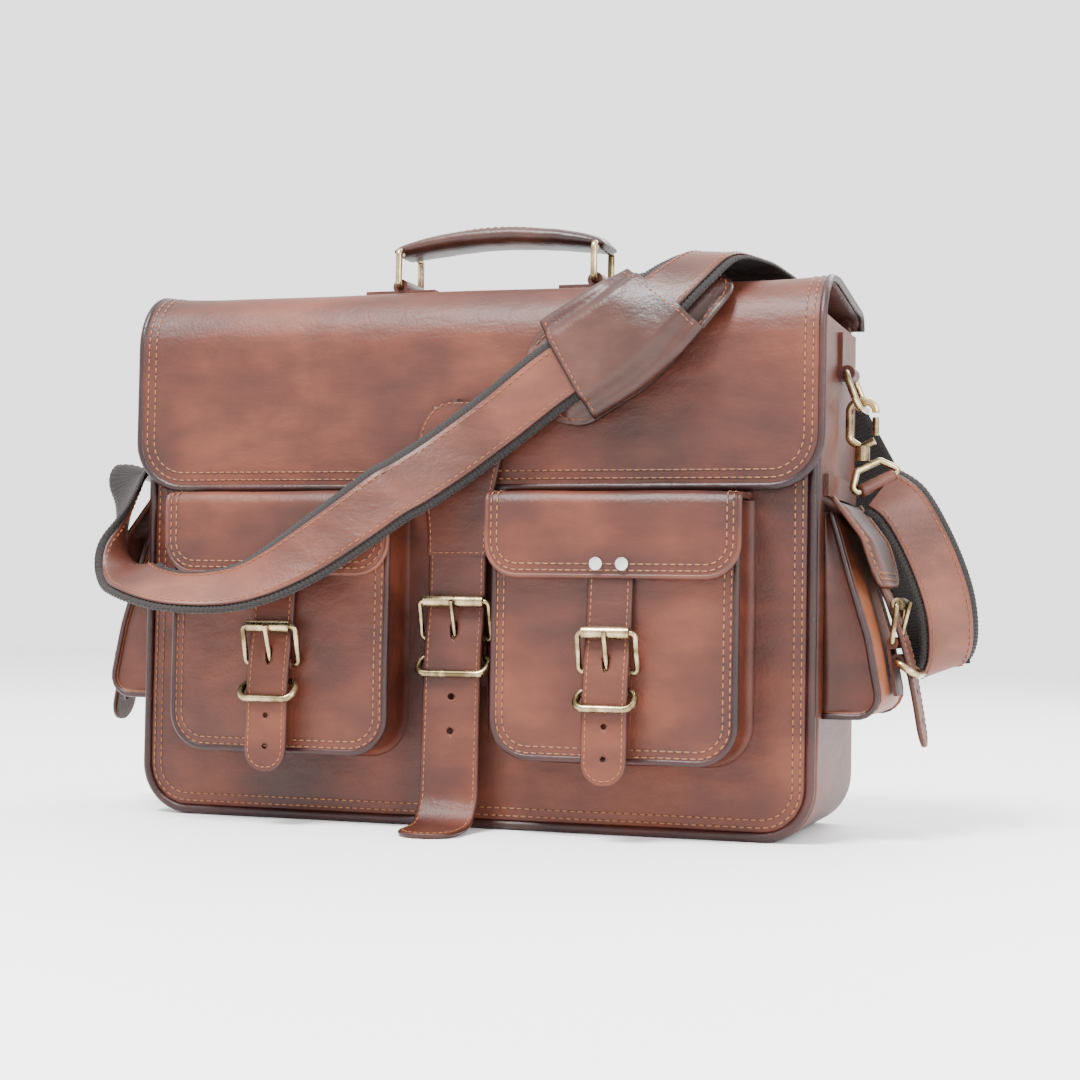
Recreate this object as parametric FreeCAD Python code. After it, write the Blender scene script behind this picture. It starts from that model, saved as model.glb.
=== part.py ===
"""Leather satchel: body shell, four pockets, flap, five buckles, handle, hooks and shoulder strap.

Frame: +X to the right, the front faces -Y, +Z up, origin at the centre of the base. Millimetres.
"""
import FreeCAD, Part
import math
import os

V = FreeCAD.Vector

# Body shell
BODY_WIDTH = 400.0
BODY_DEPTH = 122.0
PANEL = 3.0
CORNER_RADIUS = 29.0
FRONT_HEIGHT = 287.0
BACK_HEIGHT = 287.0
GUSSET_HEIGHT = 286.0
PIPING_RADIUS = 2.3
LINING = 1.2
BOARD = 3.0

# Main flap: outer profile from the back hinge over the crest and down the front
FLAP_HALF_WIDTH = 203.0
FLAP_THICKNESS = 3.0
FLAP_FRONT = 70.0
FLAP_HINGE_Y = 62.8
FLAP_HINGE_Z = 289.5
FLAP_PROFILE = [(62.8, 290.2), (62.8, 301.0), (-22.0, 308.5), (-68.5, 306.0), (-68.5, 190.0)]
FLAP_RADII = [11.0, 45.0, 35.0]
FLAP_CORNER = 28.0

# Pockets: name, low x, high x, low z of the pouch, lid overhang on each side
FRONT_POCKETS = [("left", -166.0, -34.0, 40.6), ("right", 27.5, 163.5, 42.0)]
POCKET_FACE = 93.0
POCKET_TOP = 183.0
POCKET_CORNER = 21.0
LID_LOW = 140.8
LID_TOP = 185.7
LID_HINGE_Y = -72.5
LID_OVERHANG = 2.0
LID_GAP = 3.4
LID_CORNER = 18.0
SIDE_HALF_WIDTH = 45.0
SIDE_PROFILE = [(201.0, 67.8), (234.0, 67.8), (226.5, 110.0), (206.0, 178.0)]
LEATHER = 2.6

# Buckles: roller height above the base and strap width
BUCKLE_WIRE = 1.5
ROLLER_RADIUS = 3.3
FIT_GAP = 0.06
CLEAR = 0.3
STRAP_THICKNESS = 2.4
CENTRE_FACE = 66.6

# Handle
RING_X = 60.5
RING_HALF = 18.0
RING_LOW_Z = 314.0
RING_HIGH_Z = 335.0
RING_WIRE = 2.0

# Shoulder strap
WEBBING_WIDTH = 37.0
WEBBING_THICKNESS = 3.4
HOOK_X = 213.0
HOOK_Y = 4.0
RING_ACROSS = V(0.72, 0.55, 0.42)
RING_EYE = V(217.0, 0.0, 206.0)
RING_BAR = V(221.96, 0.22, 196.19)
TURN_RADIUS = 3.8
TURN_HALF = 11.5
PAD_WIDTH = 60.0
PAD_THICKNESS = 7.0
SLEEVE_WIDTH = 64.0
SLEEVE_THICKNESS = 2.2


def rounded_edges(points, radii):
    """Edges through the corner points, each inner corner eased by a tangent arc."""
    edges = []
    start = points[0]
    for before, corner, after, radius in zip(points, points[1:], points[2:], radii):
        back = (before - corner).normalize()
        ahead = (after - corner).normalize()
        half = back.getAngle(ahead) / 2
        if radius <= 0:
            edges.append(Part.makeLine(start, corner))
            start = corner
            continue
        reach = radius / math.tan(half)
        axis = (back + ahead).normalize()
        middle = corner + axis * (radius / math.sin(half) - radius)
        first = corner + back * reach
        last = corner + ahead * reach
        if start.distanceToPoint(first) > 1e-4:
            edges.append(Part.makeLine(start, first))
        edges.append(Part.Arc(first, middle, last).toShape())
        start = last
    if start.distanceToPoint(points[-1]) > 1e-4:
        edges.append(Part.makeLine(start, points[-1]))
    return edges


def shifted(points, distance):
    """A path in the YZ plane moved to the left of its own direction, with mitred corners."""
    normals = []
    for a, b in zip(points, points[1:]):
        normals.append(V(0, a.z - b.z, b.y - a.y).normalize())
    result = [points[0] + normals[0] * distance]
    for corner, one, two in zip(points[1:], normals, normals[1:]):
        bisector = (one + two).normalize()
        result.append(corner + bisector * (distance / bisector.dot(one)))
    result.append(points[-1] + normals[-1] * distance)
    return result


def ribbon(path, radii, thickness, width, x=0.0):
    """A strip of even thickness along (y, z) points, centred on x."""
    points = [V(0, y, z) for y, z in path]
    turns = []
    for a, b, c in zip(points, points[1:], points[2:]):
        turns.append(math.copysign(1.0, (b - a).cross(c - b).x))
    sides = []
    for offset in (thickness / 2, -thickness / 2):
        eased = [max(0.0, r - turn * offset) if r else 0.0 for r, turn in zip(radii, turns)]
        sides.append(rounded_edges(shifted(points, offset), eased))
    left = shifted(points, thickness / 2)
    right = shifted(points, -thickness / 2)
    ends = [Part.makeLine(left[0], right[0]), Part.makeLine(left[-1], right[-1])]
    wire = Part.Wire(Part.sortEdges(sides[0] + sides[1] + ends)[0])
    solid = Part.Face(wire).extrude(V(width, 0, 0))
    solid.translate(V(x - width / 2, 0, 0))
    return solid


def pouch(x0, x1, z0, z1, radius, y0, y1):
    """A block from y0 to y1 whose front view has rounded lower corners."""
    points = [V(x0, y0, z1), V(x0, y0, z0), V(x1, y0, z0), V(x1, y0, z1)]
    edges = rounded_edges(points, [radius, radius]) + [Part.makeLine(points[-1], points[0])]
    return Part.Face(Part.Wire(edges)).extrude(V(0, y1 - y0, 0))


def u_band(x0, x1, z0, z1, radius, y0, y1, thickness):
    """Sides and bottom of a pouch, open at the top, front and back."""
    inner = pouch(x0 + thickness, x1 - thickness, z0 + thickness, z1 + 1, radius - thickness, y0 - 1, y1 + 1)
    return pouch(x0, x1, z0, z1, radius, y0, y1).cut(inner)


def swept(edges, radius, direction):
    """A round rod along a path that starts in the given direction."""
    wire = Part.Wire(edges)
    start = edges[0].Vertexes[0].Point
    for vertex in edges[0].Vertexes:
        if all(vertex.Point.distanceToPoint(v.Point) > 1e-4 for v in edges[1].Vertexes):
            start = vertex.Point
    profile = Part.Wire([Part.Circle(start, direction, radius).toShape()])
    return wire.makePipeShell([profile], True, False)


def rod(start, end, radius):
    """A straight round bar."""
    return Part.makeCylinder(radius, (end - start).Length, start, end - start)


def loop(corners, corner_radius, wire_radius):
    """A closed ring of round wire through four corners."""
    middle = (corners[0] + corners[-1]) * 0.5
    far = (corners[1] + corners[2]) * 0.5
    first = rounded_edges([middle, corners[0], corners[1], far], [corner_radius] * 2)
    second = rounded_edges([far, corners[2], corners[3], middle], [corner_radius] * 2)
    halves = [swept(first, wire_radius, corners[0] - middle), swept(second, wire_radius, corners[2] - far)]
    return halves[0].fuse(halves[1]).removeSplitter()


def sleeve_x(x, half, y, z, outer, inner):
    """A tube along X."""
    tube = Part.makeCylinder(outer, 2 * half, V(x - half, y, z), V(1, 0, 0))
    return tube.cut(Part.makeCylinder(inner, 2 * half + 2, V(x - half - 1, y, z), V(1, 0, 0)))


class Fastening:
    """One strap-and-buckle set in its own frame: outward is -Y, the pocket face is y = 0."""

    def __init__(self, name, place, roller_z, strap_width, tip_z, stand=1.3, low=66.0):
        self.name = name
        self.place = place
        self.z = roller_z
        self.width = strap_width
        self.tip = tip_z
        self.stand = stand
        self.low = low
        self.heel = V(0, -4.0, roller_z - 21.0)
        self.bar = V(0, -10.1, roller_z)

    def put(self, shape):
        """Carry a shape from the buckle's frame to the bag."""
        return shape.transformed(self.place)

    def frame(self):
        half = self.width / 2 + 3.5
        corners = []
        for x, end in ((half, self.heel), (half, self.bar), (-half, self.bar), (-half, self.heel)):
            corners.append(V(x, end.y, end.z))
        return loop(corners, 2.6, BUCKLE_WIRE)

    def roller(self):
        return sleeve_x(0, self.width / 2 + 0.4, self.bar.y, self.bar.z, ROLLER_RADIUS, BUCKLE_WIRE + FIT_GAP)

    def prong(self):
        eye = sleeve_x(0, 1.8, self.heel.y, self.heel.z, 3.2, BUCKLE_WIRE + FIT_GAP)
        start = self.heel + V(0, -2.8, 1.2)
        along = V(0, -0.389, 0.921)
        shaft = rod(start, start + along * 22.0, 1.3)
        return eye.fuse(shaft).removeSplitter()

    def chape(self):
        width = self.width - 1.0
        low_z = self.z - self.low
        path = [(-self.stand, low_z), (-1.3, self.heel.z - 12), (-1.3, self.heel.z)]
        if self.stand < 0:
            path = [(-self.stand, low_z), (-self.stand, self.heel.z - 26), (-1.3, self.heel.z - 12),
                    (-1.3, self.heel.z)]
        plate = ribbon(path, [0] * 3, 1.8, width)
        bends = [(width / 2, self.heel.y, self.heel.z, 3.3, BUCKLE_WIRE + FIT_GAP),
                 (9.5, -4.7, self.z - 31.0, 3.8, RING_WIRE + FIT_GAP)]
        for half, y, z, outer, inner in bends:
            plate = plate.fuse(sleeve_x(0, half, y, z, outer, inner))
        for half, y, z, outer, inner in bends:
            plate = plate.cut(Part.makeCylinder(inner, 2 * half, V(-half, y, z), V(1, 0, 0)))
        slot = Part.makeBox(4.6, 12, 11, V(-2.3, -11.0, self.heel.z - 5))
        return plate.cut(slot).removeSplitter()

    def keeper(self):
        half = self.width / 2 + 3.4
        low = V(0, -14.4, self.z - 40.0)
        high = V(0, -4.7, self.z - 31.0)
        corners = []
        for x, end in ((half, high), (half, low), (-half, low), (-half, high)):
            corners.append(V(x, end.y, end.z))
        return loop(corners, 5.6, RING_WIRE)

    def strap_path(self):
        """Outward distance and height of the strap's middle, below the roller."""
        z = self.z
        return [(-4.9, z + 1), (-8.9, z - 20), (-10.4, z - 33), (-11.0, z - 56), (-11.5, self.tip)]

    def cut_holes(self, strap, heights):
        slot = Part.makeBox(4.4, 14, 10.5, V(-2.2, -16, self.z - 22))
        strap = strap.cut(slot)
        for height in heights:
            strap = strap.cut(Part.makeCylinder(1.6, 40, V(0, 10, height), V(0, -1, 0)))
        return strap

    def tongue(self, upper):
        """The strap sewn to the lid: upper points first, then down through the buckle to a round tip."""
        path = upper + self.strap_path()
        strap = ribbon(path, [0] * (len(path) - 2), STRAP_THICKNESS, self.width)
        half = self.width / 2
        envelope = pouch(-half, half, self.tip, path[0][1] + 5, half - 0.01, -60, 60)
        return self.cut_holes(strap.common(envelope), (self.tip + 14, self.tip + 31))


def placement(x, y, angle=0.0, tilt=0.0, pivot=V(0, 0, 0)):
    """Matrix of a tilt about the X axis through pivot, then a turn about Z, then a move."""
    lean = FreeCAD.Placement(V(0, 0, 0), FreeCAD.Rotation(V(1, 0, 0), tilt), pivot)
    turn = FreeCAD.Placement(V(x, y, 0), FreeCAD.Rotation(V(0, 0, 1), angle))
    return turn.multiply(lean).toMatrix()


def body_shell():
    half = BODY_WIDTH / 2
    face = BODY_DEPTH / 2
    inset = 2 * PIPING_RADIUS + 0.4
    radius = CORNER_RADIUS - inset
    shapes = {}
    shapes["front_panel"] = pouch(-half + inset, half - inset, inset, FRONT_HEIGHT, radius, -face, -face + PANEL)
    shapes["back_panel"] = pouch(-half + inset, half - inset, inset, BACK_HEIGHT, radius, face - PANEL, face)
    shapes["gusset"] = u_band(-half, half, 0, GUSSET_HEIGHT, CORNER_RADIUS, -face + 3.4, face - 3.4, PANEL)
    low = PIPING_RADIUS + 0.2
    beads = []
    for y, height in ((-face + 1.0, FRONT_HEIGHT), (face - 1.0, BACK_HEIGHT)):
        x = half - low
        points = [V(-x, y, height), V(-x, y, low), V(x, y, low), V(x, y, height)]
        beads.append(swept(rounded_edges(points, [CORNER_RADIUS - low] * 2), PIPING_RADIUS, V(0, 0, -1)))
    shapes["panel_piping"] = Part.makeCompound(beads)
    wall = PANEL + CLEAR
    depth = face - 3.6
    floor = wall + BOARD + CLEAR
    inner_radius = CORNER_RADIUS - wall
    board_half = half - CORNER_RADIUS - 2
    shapes["base_board"] = Part.makeBox(2 * board_half, 2 * depth, BOARD, V(-board_half, -depth, wall - 0.2))
    outer = pouch(-half + wall, half - wall, floor, GUSSET_HEIGHT - 2, inner_radius, -depth, depth)
    skin = wall + LINING
    hollow = pouch(-half + skin, half - skin, floor + LINING, GUSSET_HEIGHT, inner_radius - LINING,
                   -depth + LINING, depth - LINING)
    shapes["lining"] = outer.cut(hollow)
    return shapes


def front_pocket(side, x0, x1, z0):
    """Pouch band, its front, the lid and the strip that holds the lid."""
    shapes = {}
    back = -BODY_DEPTH / 2
    front = -POCKET_FACE + LEATHER
    name = side + "_front_pocket"
    shapes[name + "_gusset"] = u_band(x0, x1, z0, POCKET_TOP, POCKET_CORNER, front, back, LEATHER)
    shapes[name] = pouch(x0, x1, z0, POCKET_TOP, POCKET_CORNER, -POCKET_FACE, front)
    centre = (x0 + x1) / 2
    width = x1 - x0 + 2 * LID_OVERHANG
    drop = -POCKET_FACE - LID_GAP - LEATHER / 2
    plate = ribbon([(LID_HINGE_Y, LID_TOP), (drop, LID_TOP), (drop, LID_LOW)], [4.0], LEATHER, width, centre)
    shape = pouch(centre - width / 2, centre + width / 2, LID_LOW, LID_TOP + 5, LID_CORNER, drop - 5, 0)
    shapes[side + "_front_lid"] = plate.common(shape)
    return shapes


def lid_seams():
    """Strips sewn to the bag that carry the four lids."""
    strips = []
    for side, x0, x1, z0 in FRONT_POCKETS:
        depth = -LID_HINGE_Y - BODY_DEPTH / 2 - CLEAR
        corner = V(x0 - LID_OVERHANG, -BODY_DEPTH / 2 - depth, LID_TOP - LEATHER / 2)
        strips.append(Part.makeBox(x1 - x0 + 2 * LID_OVERHANG, depth, LEATHER, corner))
    for x in (-203.0, 200.0):
        strips.append(Part.makeBox(3.0, 2 * SIDE_HALF_WIDTH + 4, 12.0, V(x, -SIDE_HALF_WIDTH - 2, 186.5)))
    return Part.makeCompound(strips)


def side_pocket():
    """Right side pocket in the bag's frame, wider at the bottom, open at the top."""
    points = [V(x, -SIDE_HALF_WIDTH, z) for x, z in SIDE_PROFILE]
    points = [V(200.2, points[0].y, points[-1].z), V(200.2, points[0].y, points[0].z)] + points[1:]
    edges = rounded_edges(points + [points[0]], [0, 9.0, 60.0, 0])
    block = Part.Face(Part.Wire(edges)).extrude(V(0, 2 * SIDE_HALF_WIDTH, 0))
    hollow = block.copy()
    hollow.translate(V(-LEATHER, 0, 0))
    core = hollow.common(Part.makeBox(60, 2 * SIDE_HALF_WIDTH - 2 * LEATHER, 140,
                                      V(190, -SIDE_HALF_WIDTH + LEATHER, SIDE_PROFILE[0][1] + LEATHER)))
    lifted = core.copy()
    lifted.translate(V(0, 0, 1.0))
    front = block.cut(hollow)
    front = sorted(front.Solids, key=lambda s: s.Volume)[-1]
    rest = block.cut(front).cut(core).cut(lifted)
    rest = sorted(rest.Solids, key=lambda s: s.Volume)[-1]
    return front, rest


def side_lid():
    """Right side lid, drawn with outward as -Y and then turned to face +X."""
    path = [(-204.6, 184.6), (-221.0, 163.0), (-229.0, 139.0)]
    plate = ribbon(path, [8.0], LEATHER, 2 * SIDE_HALF_WIDTH + 4)
    half = SIDE_HALF_WIDTH + 2
    shape = pouch(-half, half, 139.0, 200.0, LID_CORNER, -260, -190)
    return plate.common(shape).transformed(placement(0, 0, 90))


def main_flap():
    plate = ribbon(FLAP_PROFILE, FLAP_RADII, FLAP_THICKNESS, 2 * FLAP_HALF_WIDTH)
    low = FLAP_PROFILE[-1][1]
    shape = pouch(-FLAP_HALF_WIDTH, FLAP_HALF_WIDTH, low, 320, FLAP_CORNER, -90, 90)
    return plate.common(shape)


def centre_strap(fastening):
    """Strap with a shield-shaped patch on the flap; its end curls forward on the floor."""
    path = [(-4.9, 236.0), (-4.9, 127.5), (-8.9, 106.5), (-10.4, 92.0), (-12.0, 50.0), (-13.0, 18.0),
            (-21.0, 3.4), (-58.0, 1.6)]
    strap = ribbon(path, [0, 0, 0, 0, 12.0, 14.0], STRAP_THICKNESS, fastening.width)
    top = [V(-25.4, 0, 212), V(0, 0, 239), V(25.4, 0, 212), V(17, 0, 150), V(-17, 0, 150)]
    dome = Part.Arc(top[0], top[1], top[2]).toShape()
    right = Part.Arc(top[2], V(19.5, 0, 180), top[3]).toShape()
    left = Part.Arc(top[4], V(-19.5, 0, 180), top[0]).toShape()
    wire = Part.Wire([dome, right, Part.makeLine(top[3], top[4]), left])
    patch = Part.Face(wire).extrude(V(0, -STRAP_THICKNESS, 0))
    patch.translate(V(0, -4.9 + STRAP_THICKNESS / 2, 0))
    return fastening.cut_holes(strap.fuse(patch).removeSplitter(), (74.0, 55.0))


def handle():
    """Two tabs, two rings and the padded grip, in the closed flap's frame."""
    shapes = {}
    tabs = []
    for side, x in (("left", -RING_X), ("right", RING_X)):
        tube = Part.makeCylinder(4.6, 30, V(x, -15, RING_LOW_Z), V(0, 1, 0))
        base = Part.makeBox(44, 30, 2.2, V(x - 22, -15, RING_LOW_Z - 4.6))
        hole = Part.makeCylinder(RING_WIRE + FIT_GAP, 40, V(x, -20, RING_LOW_Z), V(0, 1, 0))
        tabs.append(tube.fuse(base).cut(hole).removeSplitter())
        corners = [V(x, RING_HALF, RING_LOW_Z), V(x, RING_HALF, RING_HIGH_Z),
                   V(x, -RING_HALF, RING_HIGH_Z), V(x, -RING_HALF, RING_LOW_Z)]
        shapes["handle_ring_" + side] = loop(corners, 2.6, RING_WIRE)
    shapes["handle_tabs"] = Part.makeCompound(tabs)
    rise = 8.0
    points = [V(-RING_X, -17, RING_HIGH_Z), V(0, -17, RING_HIGH_Z + rise), V(RING_X, -17, RING_HIGH_Z)]
    arch = []
    for offset in (-4.5, 4.5):
        arch.append(Part.Arc(*[p + V(0, 0, offset) for p in points]).toShape())
    ends = [Part.makeLine(arch[0].Vertexes[i].Point, arch[1].Vertexes[i].Point) for i in (0, 1)]
    body = Part.Face(Part.Wire(Part.sortEdges(arch + ends)[0])).extrude(V(0, 34, 0))
    body = body.common(Part.makeBox(200, 30.0, 60, V(-100, -15.0, 310)))
    for x in (-RING_X, RING_X):
        body = body.fuse(Part.makeCylinder(4.6, 30, V(x, -15, RING_HIGH_Z), V(0, 1, 0)))
    for x in (-RING_X, RING_X):
        body = body.cut(Part.makeCylinder(RING_WIRE + FIT_GAP, 40, V(x, -20, RING_HIGH_Z), V(0, 1, 0)))
    shapes["handle_grip"] = body.removeSplitter()
    return shapes


def strap_hardware():
    """Right-hand tab, D-ring, trigger hook, gate and strap ring."""
    y = HOOK_Y
    hinge = V(205.4, y, 258.0)
    bow = V(HOOK_X, y, 238.0)
    tab = Part.makeBox(2.6, 17, 26, V(200.2, y - 8.5, 255)).fuse(
        Part.makeCylinder(4.4, 17, V(hinge.x, y - 8.5, hinge.z), V(0, 1, 0)))
    tab = tab.cut(Part.makeCylinder(RING_WIRE + FIT_GAP, 40, V(hinge.x, y - 20, hinge.z), V(0, 1, 0)))
    tab = tab.cut(Part.makeBox(20, 60, 60, V(180.2, y - 30, 230)))
    corners = [hinge + V(0, 16, 0), bow + V(0, 16, 0), bow + V(0, -16, 0), hinge + V(0, -16, 0)]
    shapes = {"strap_tab": tab, "d_ring": loop(corners, 7.0, RING_WIRE)}
    wire = 2.2
    top = bow.z + RING_WIRE + wire + 0.9
    left = HOOK_X - 7.4
    right = HOOK_X + 7.4
    path = [V(HOOK_X, y, 216.0), V(left, y, 221.0), V(left, y, top), V(right, y, top), V(right, y, 236.5)]
    jaw = swept(rounded_edges(path, [4.0, 6.5, 6.5]), wire, path[1] - path[0])
    foot = rod(V(HOOK_X, y, 217.0), V(right - 0.5, y, 220.5), wire)
    barrel = rod(V(HOOK_X, y, 209.0), V(HOOK_X, y, 217.5), 4.2)
    shapes["hook"] = jaw.fuse(foot).fuse(barrel).removeSplitter()
    shapes["hook_gate"] = rod(V(right, y, 223.4), V(right, y, 233.6), 1.9)
    narrow = RING_ACROSS * 8.0
    wide = RING_ACROSS * 18.0
    corners = [RING_EYE - narrow, RING_BAR - wide, RING_BAR + wide, RING_EYE + narrow]
    shapes["strap_ring"] = loop(corners, 2.6, RING_WIRE)
    return shapes


def strap_turn(sign):
    """The strap's end turned round the wide bar of its ring."""
    axis = V(sign * RING_ACROSS.x, RING_ACROSS.y, RING_ACROSS.z).normalize()
    bar = V(sign * RING_BAR.x, RING_BAR.y, RING_BAR.z)
    turn = Part.makeCylinder(TURN_RADIUS, 2 * TURN_HALF, bar - axis * TURN_HALF, axis)
    return turn.cut(Part.makeCylinder(RING_WIRE + FIT_GAP, 2 * TURN_HALF, bar - axis * TURN_HALF, axis))


def band(stations, width, thickness):
    """A flat strap through stations of centre and direction across, in flat facets."""
    centres = [V(*centre) for centre, across in stations]
    sections = []
    for i, (centre, across) in enumerate(stations):
        along = centres[min(i + 1, len(centres) - 1)] - centres[max(i - 1, 0)]
        side = V(*across)
        side = (side - along * (side.dot(along) / along.dot(along))).normalize()
        normal = side.cross(along).normalize()
        corners = []
        for s, t in ((1, 1), (-1, 1), (-1, -1), (1, -1)):
            corners.append(centres[i] + side * (s * width / 2) + normal * (t * thickness / 2))
        sections.append(corners)
    first, last = sections[0], sections[-1]
    facets = [(first[0], first[1], first[2], first[3]), (last[3], last[2], last[1], last[0])]
    for one, two in zip(sections, sections[1:]):
        for k in range(4):
            n = (k + 1) % 4
            if k == 2:
                facets.append((one[k], two[k], one[n]))
                facets.append((one[n], two[k], two[n]))
            else:
                facets.append((one[k], two[n], one[n]))
                facets.append((one[k], two[k], two[n]))
    faces = [Part.Face(Part.makePolygon(list(corners) + [corners[0]])) for corners in facets]
    skin = Part.makeCompound(faces)
    skin.sewShape()
    solid = Part.Solid(skin.Shells[0])
    if solid.Volume < 0:
        solid.reverse()
    return solid


LEFT_LOOP = [
    ((-224.1, -4.0, 197.9), (-0.72, 0.55, 0.42)), ((-228, -15, 201), (-0.70, 0.66, 0.26)),
    ((-225, -32, 198), (-0.68, 0.72, 0.14)), ((-219, -50, 182), (-0.60, 0.79, 0.10)),
    ((-211, -70, 160), (-0.42, 0.90, 0.08)), ((-199, -88, 146), (-0.25, 0.92, 0.28)),
    ((-179, -111, 136.5), (-0.15, 0.87, 0.46)), ((-148, -122.5, 130.5), (-0.12, 0.82, 0.56)),
    ((-118, -121, 132), (-0.15, 0.70, 0.70)), ((-93, -121, 140), (-0.35, 0.48, 0.80)),
    ((-70, -118, 153), (-0.50, 0.25, 0.83)), ((-46, -113, 170), (-0.60, 0.10, 0.79)),
    ((-28, -106, 184.5), (-0.63, 0.02, 0.77))]
FRONT_RUN = [
    ((-20, -98.5, 190.5), (-0.63, 0.02, 0.77)), ((0, -85, 207), (-0.63, 0.0, 0.77)),
    ((27, -79.0, 228), (-0.62, 0.0, 0.78)), ((58, -82.4, 250), (-0.60, 0.0, 0.80)),
    ((88, -83.0, 268), (-0.57, 0.02, 0.82)), ((112, -81.6, 289.3), (-0.70, 0.27, 0.66)),
    ((128.4, -70.3, 307.1), (-0.83, 0.40, 0.39)), ((138.3, -51.9, 318.8), (-0.90, 0.40, 0.15)),
    ((146, -20, 320), (-0.97, 0.20, 0.03)), ((151, 10, 317.5), (-0.98, 0.15, -0.03)),
    ((155, 36, 314), (-0.99, 0.10, -0.04)), ((157, 54, 308.5), (-0.99, 0.06, 0.04))]
RIGHT_RUN = [
    ((158.5, 63, 302), (-0.98, 0.04, 0.14)), ((163, 71.5, 289), (-0.97, 0.0, 0.22)),
    ((173, 75, 266), (-0.96, 0.0, 0.28)), ((188, 76.5, 236), (-0.94, 0.0, 0.30)),
    ((205, 77, 204), (-0.95, -0.05, 0.25)), ((222, 74, 172), (-0.95, -0.15, 0.15)),
    ((237, 66, 140), (-0.93, -0.28, -0.02)), ((248, 54, 112), (-0.88, -0.38, -0.20)),
    ((252, 41, 93), (-0.84, -0.44, -0.32)), ((259, 30, 102), (-0.80, -0.48, -0.36)),
    ((260, 21, 122), (-0.77, -0.50, -0.39)), ((256, 13, 142), (-0.74, -0.52, -0.41)),
    ((247, 6, 165), (-0.72, -0.54, -0.42)), ((236, 1, 184), (-0.72, -0.55, -0.42)),
    ((224.4, -0.3, 192.7), (-0.72, -0.55, -0.42))]
PAD = [((46, -75.6, 240), (-0.60, 0.0, 0.80)), ((66, -75.6, 253), (-0.57, 0.0, 0.82)),
       ((90, -75.6, 268), (-0.56, 0.02, 0.83)), ((110, -72.4, 285.8), (-0.68, 0.27, 0.68)),
       ((124, -64.2, 301), (-0.82, 0.40, 0.40)), ((133, -49.0, 311), (-0.88, 0.44, 0.17))]
SLEEVE = [((64, -87.2, 253.6), (-0.58, 0.0, 0.81)), ((88, -87.8, 268), (-0.57, 0.02, 0.82)),
          ((104, -88.2, 281), (-0.64, 0.15, 0.75)), ((117, -83.6, 295), (-0.74, 0.33, 0.58))]


def collect():
    shapes = body_shell()
    fastenings = []
    for side, x0, x1, z0 in FRONT_POCKETS:
        shapes.update(front_pocket(side, x0, x1, z0))
        place = placement((x0 + x1) / 2, -POCKET_FACE)
        fastenings.append(Fastening(side + "_front", place, 111.0, 25.0, 30.4))
    shapes["lid_seams"] = lid_seams()
    front, rest = side_pocket()
    lid = side_lid()
    for side, sign in (("right", 1), ("left", -1)):
        mirrored = {"side_pocket": front, "side_pocket_gusset": rest, "side_lid": lid}
        for name, shape in mirrored.items():
            key = side + "_" + name
            shapes[key] = shape if sign > 0 else shape.mirror(V(0, 0, 0), V(1, 0, 0))
        place = placement(sign * 231.6, 0, sign * 90, -9.0, V(0, 0, 92.0))
        fastenings.append(Fastening(side + "_side", place, 128.0, 25.0, 48.0, low=50.0))
    centre = Fastening("centre", placement(0, -CENTRE_FACE), 126.5, 34.0, 0.0, stand=-4.3, low=78.0)
    add_fastenings(shapes, fastenings, centre)
    shapes["main_flap"] = main_flap()
    shapes.update(handle())
    for name, shape in strap_hardware().items():
        other = shape.mirror(V(0, 0, 0), V(1, 0, 0))
        if name in ("strap_tab", "strap_ring"):
            shapes[name + "s"] = Part.makeCompound([shape, other])
            continue
        shapes["right_" + name] = shape
        shapes["left_" + name] = other
    left = band(LEFT_LOOP, WEBBING_WIDTH, WEBBING_THICKNESS)
    shapes["strap_left_loop"] = Part.makeCompound([left, strap_turn(-1)])
    shapes["strap_front_run"] = band(FRONT_RUN, WEBBING_WIDTH, WEBBING_THICKNESS)
    right = band(RIGHT_RUN, WEBBING_WIDTH, WEBBING_THICKNESS)
    shapes["strap_right_run"] = Part.makeCompound([right, strap_turn(1)])
    shapes["shoulder_pad"] = band(PAD, PAD_WIDTH, PAD_THICKNESS)
    shapes["pad_sleeve"] = band(SLEEVE, SLEEVE_WIDTH, SLEEVE_THICKNESS)
    return shapes


def add_fastenings(shapes, fastenings, centre):
    """Buckle parts of every set; frames, chapes and keepers of the pockets share one node each."""
    groups = {"pocket_buckle_frames": "frame", "pocket_chapes": "chape", "pocket_keepers": "keeper"}
    for node, part in groups.items():
        shapes[node] = Part.makeCompound([f.put(getattr(f, part)()) for f in fastenings])
    shapes["centre_buckle_frame"] = centre.put(centre.frame())
    shapes["centre_chape"] = centre.put(centre.chape())
    shapes["centre_keeper"] = centre.put(centre.keeper())
    shapes["centre_strap"] = centre.put(centre_strap(centre))
    for fastening in fastenings + [centre]:
        shapes[fastening.name + "_roller"] = fastening.put(fastening.roller())
        shapes[fastening.name + "_prong"] = fastening.put(fastening.prong())
    for fastening in fastenings:
        upper = [(-1.9, 162.0), (-1.9, 140.5)]
        if "side" in fastening.name:
            upper = [(1.9, 163.2), (-2.0, 138.8)]
        shapes[fastening.name + "_strap"] = fastening.put(fastening.tongue(upper))
        if "front" in fastening.name:
            pair = []
            for x in (-7.2, 7.2):
                pair.append(Part.makeCylinder(3.5, 1.2, V(x, -6.05, 147.5), V(0, -1, 0)))
            shapes[fastening.name + "_rivets"] = fastening.put(Part.makeCompound(pair))


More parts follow.
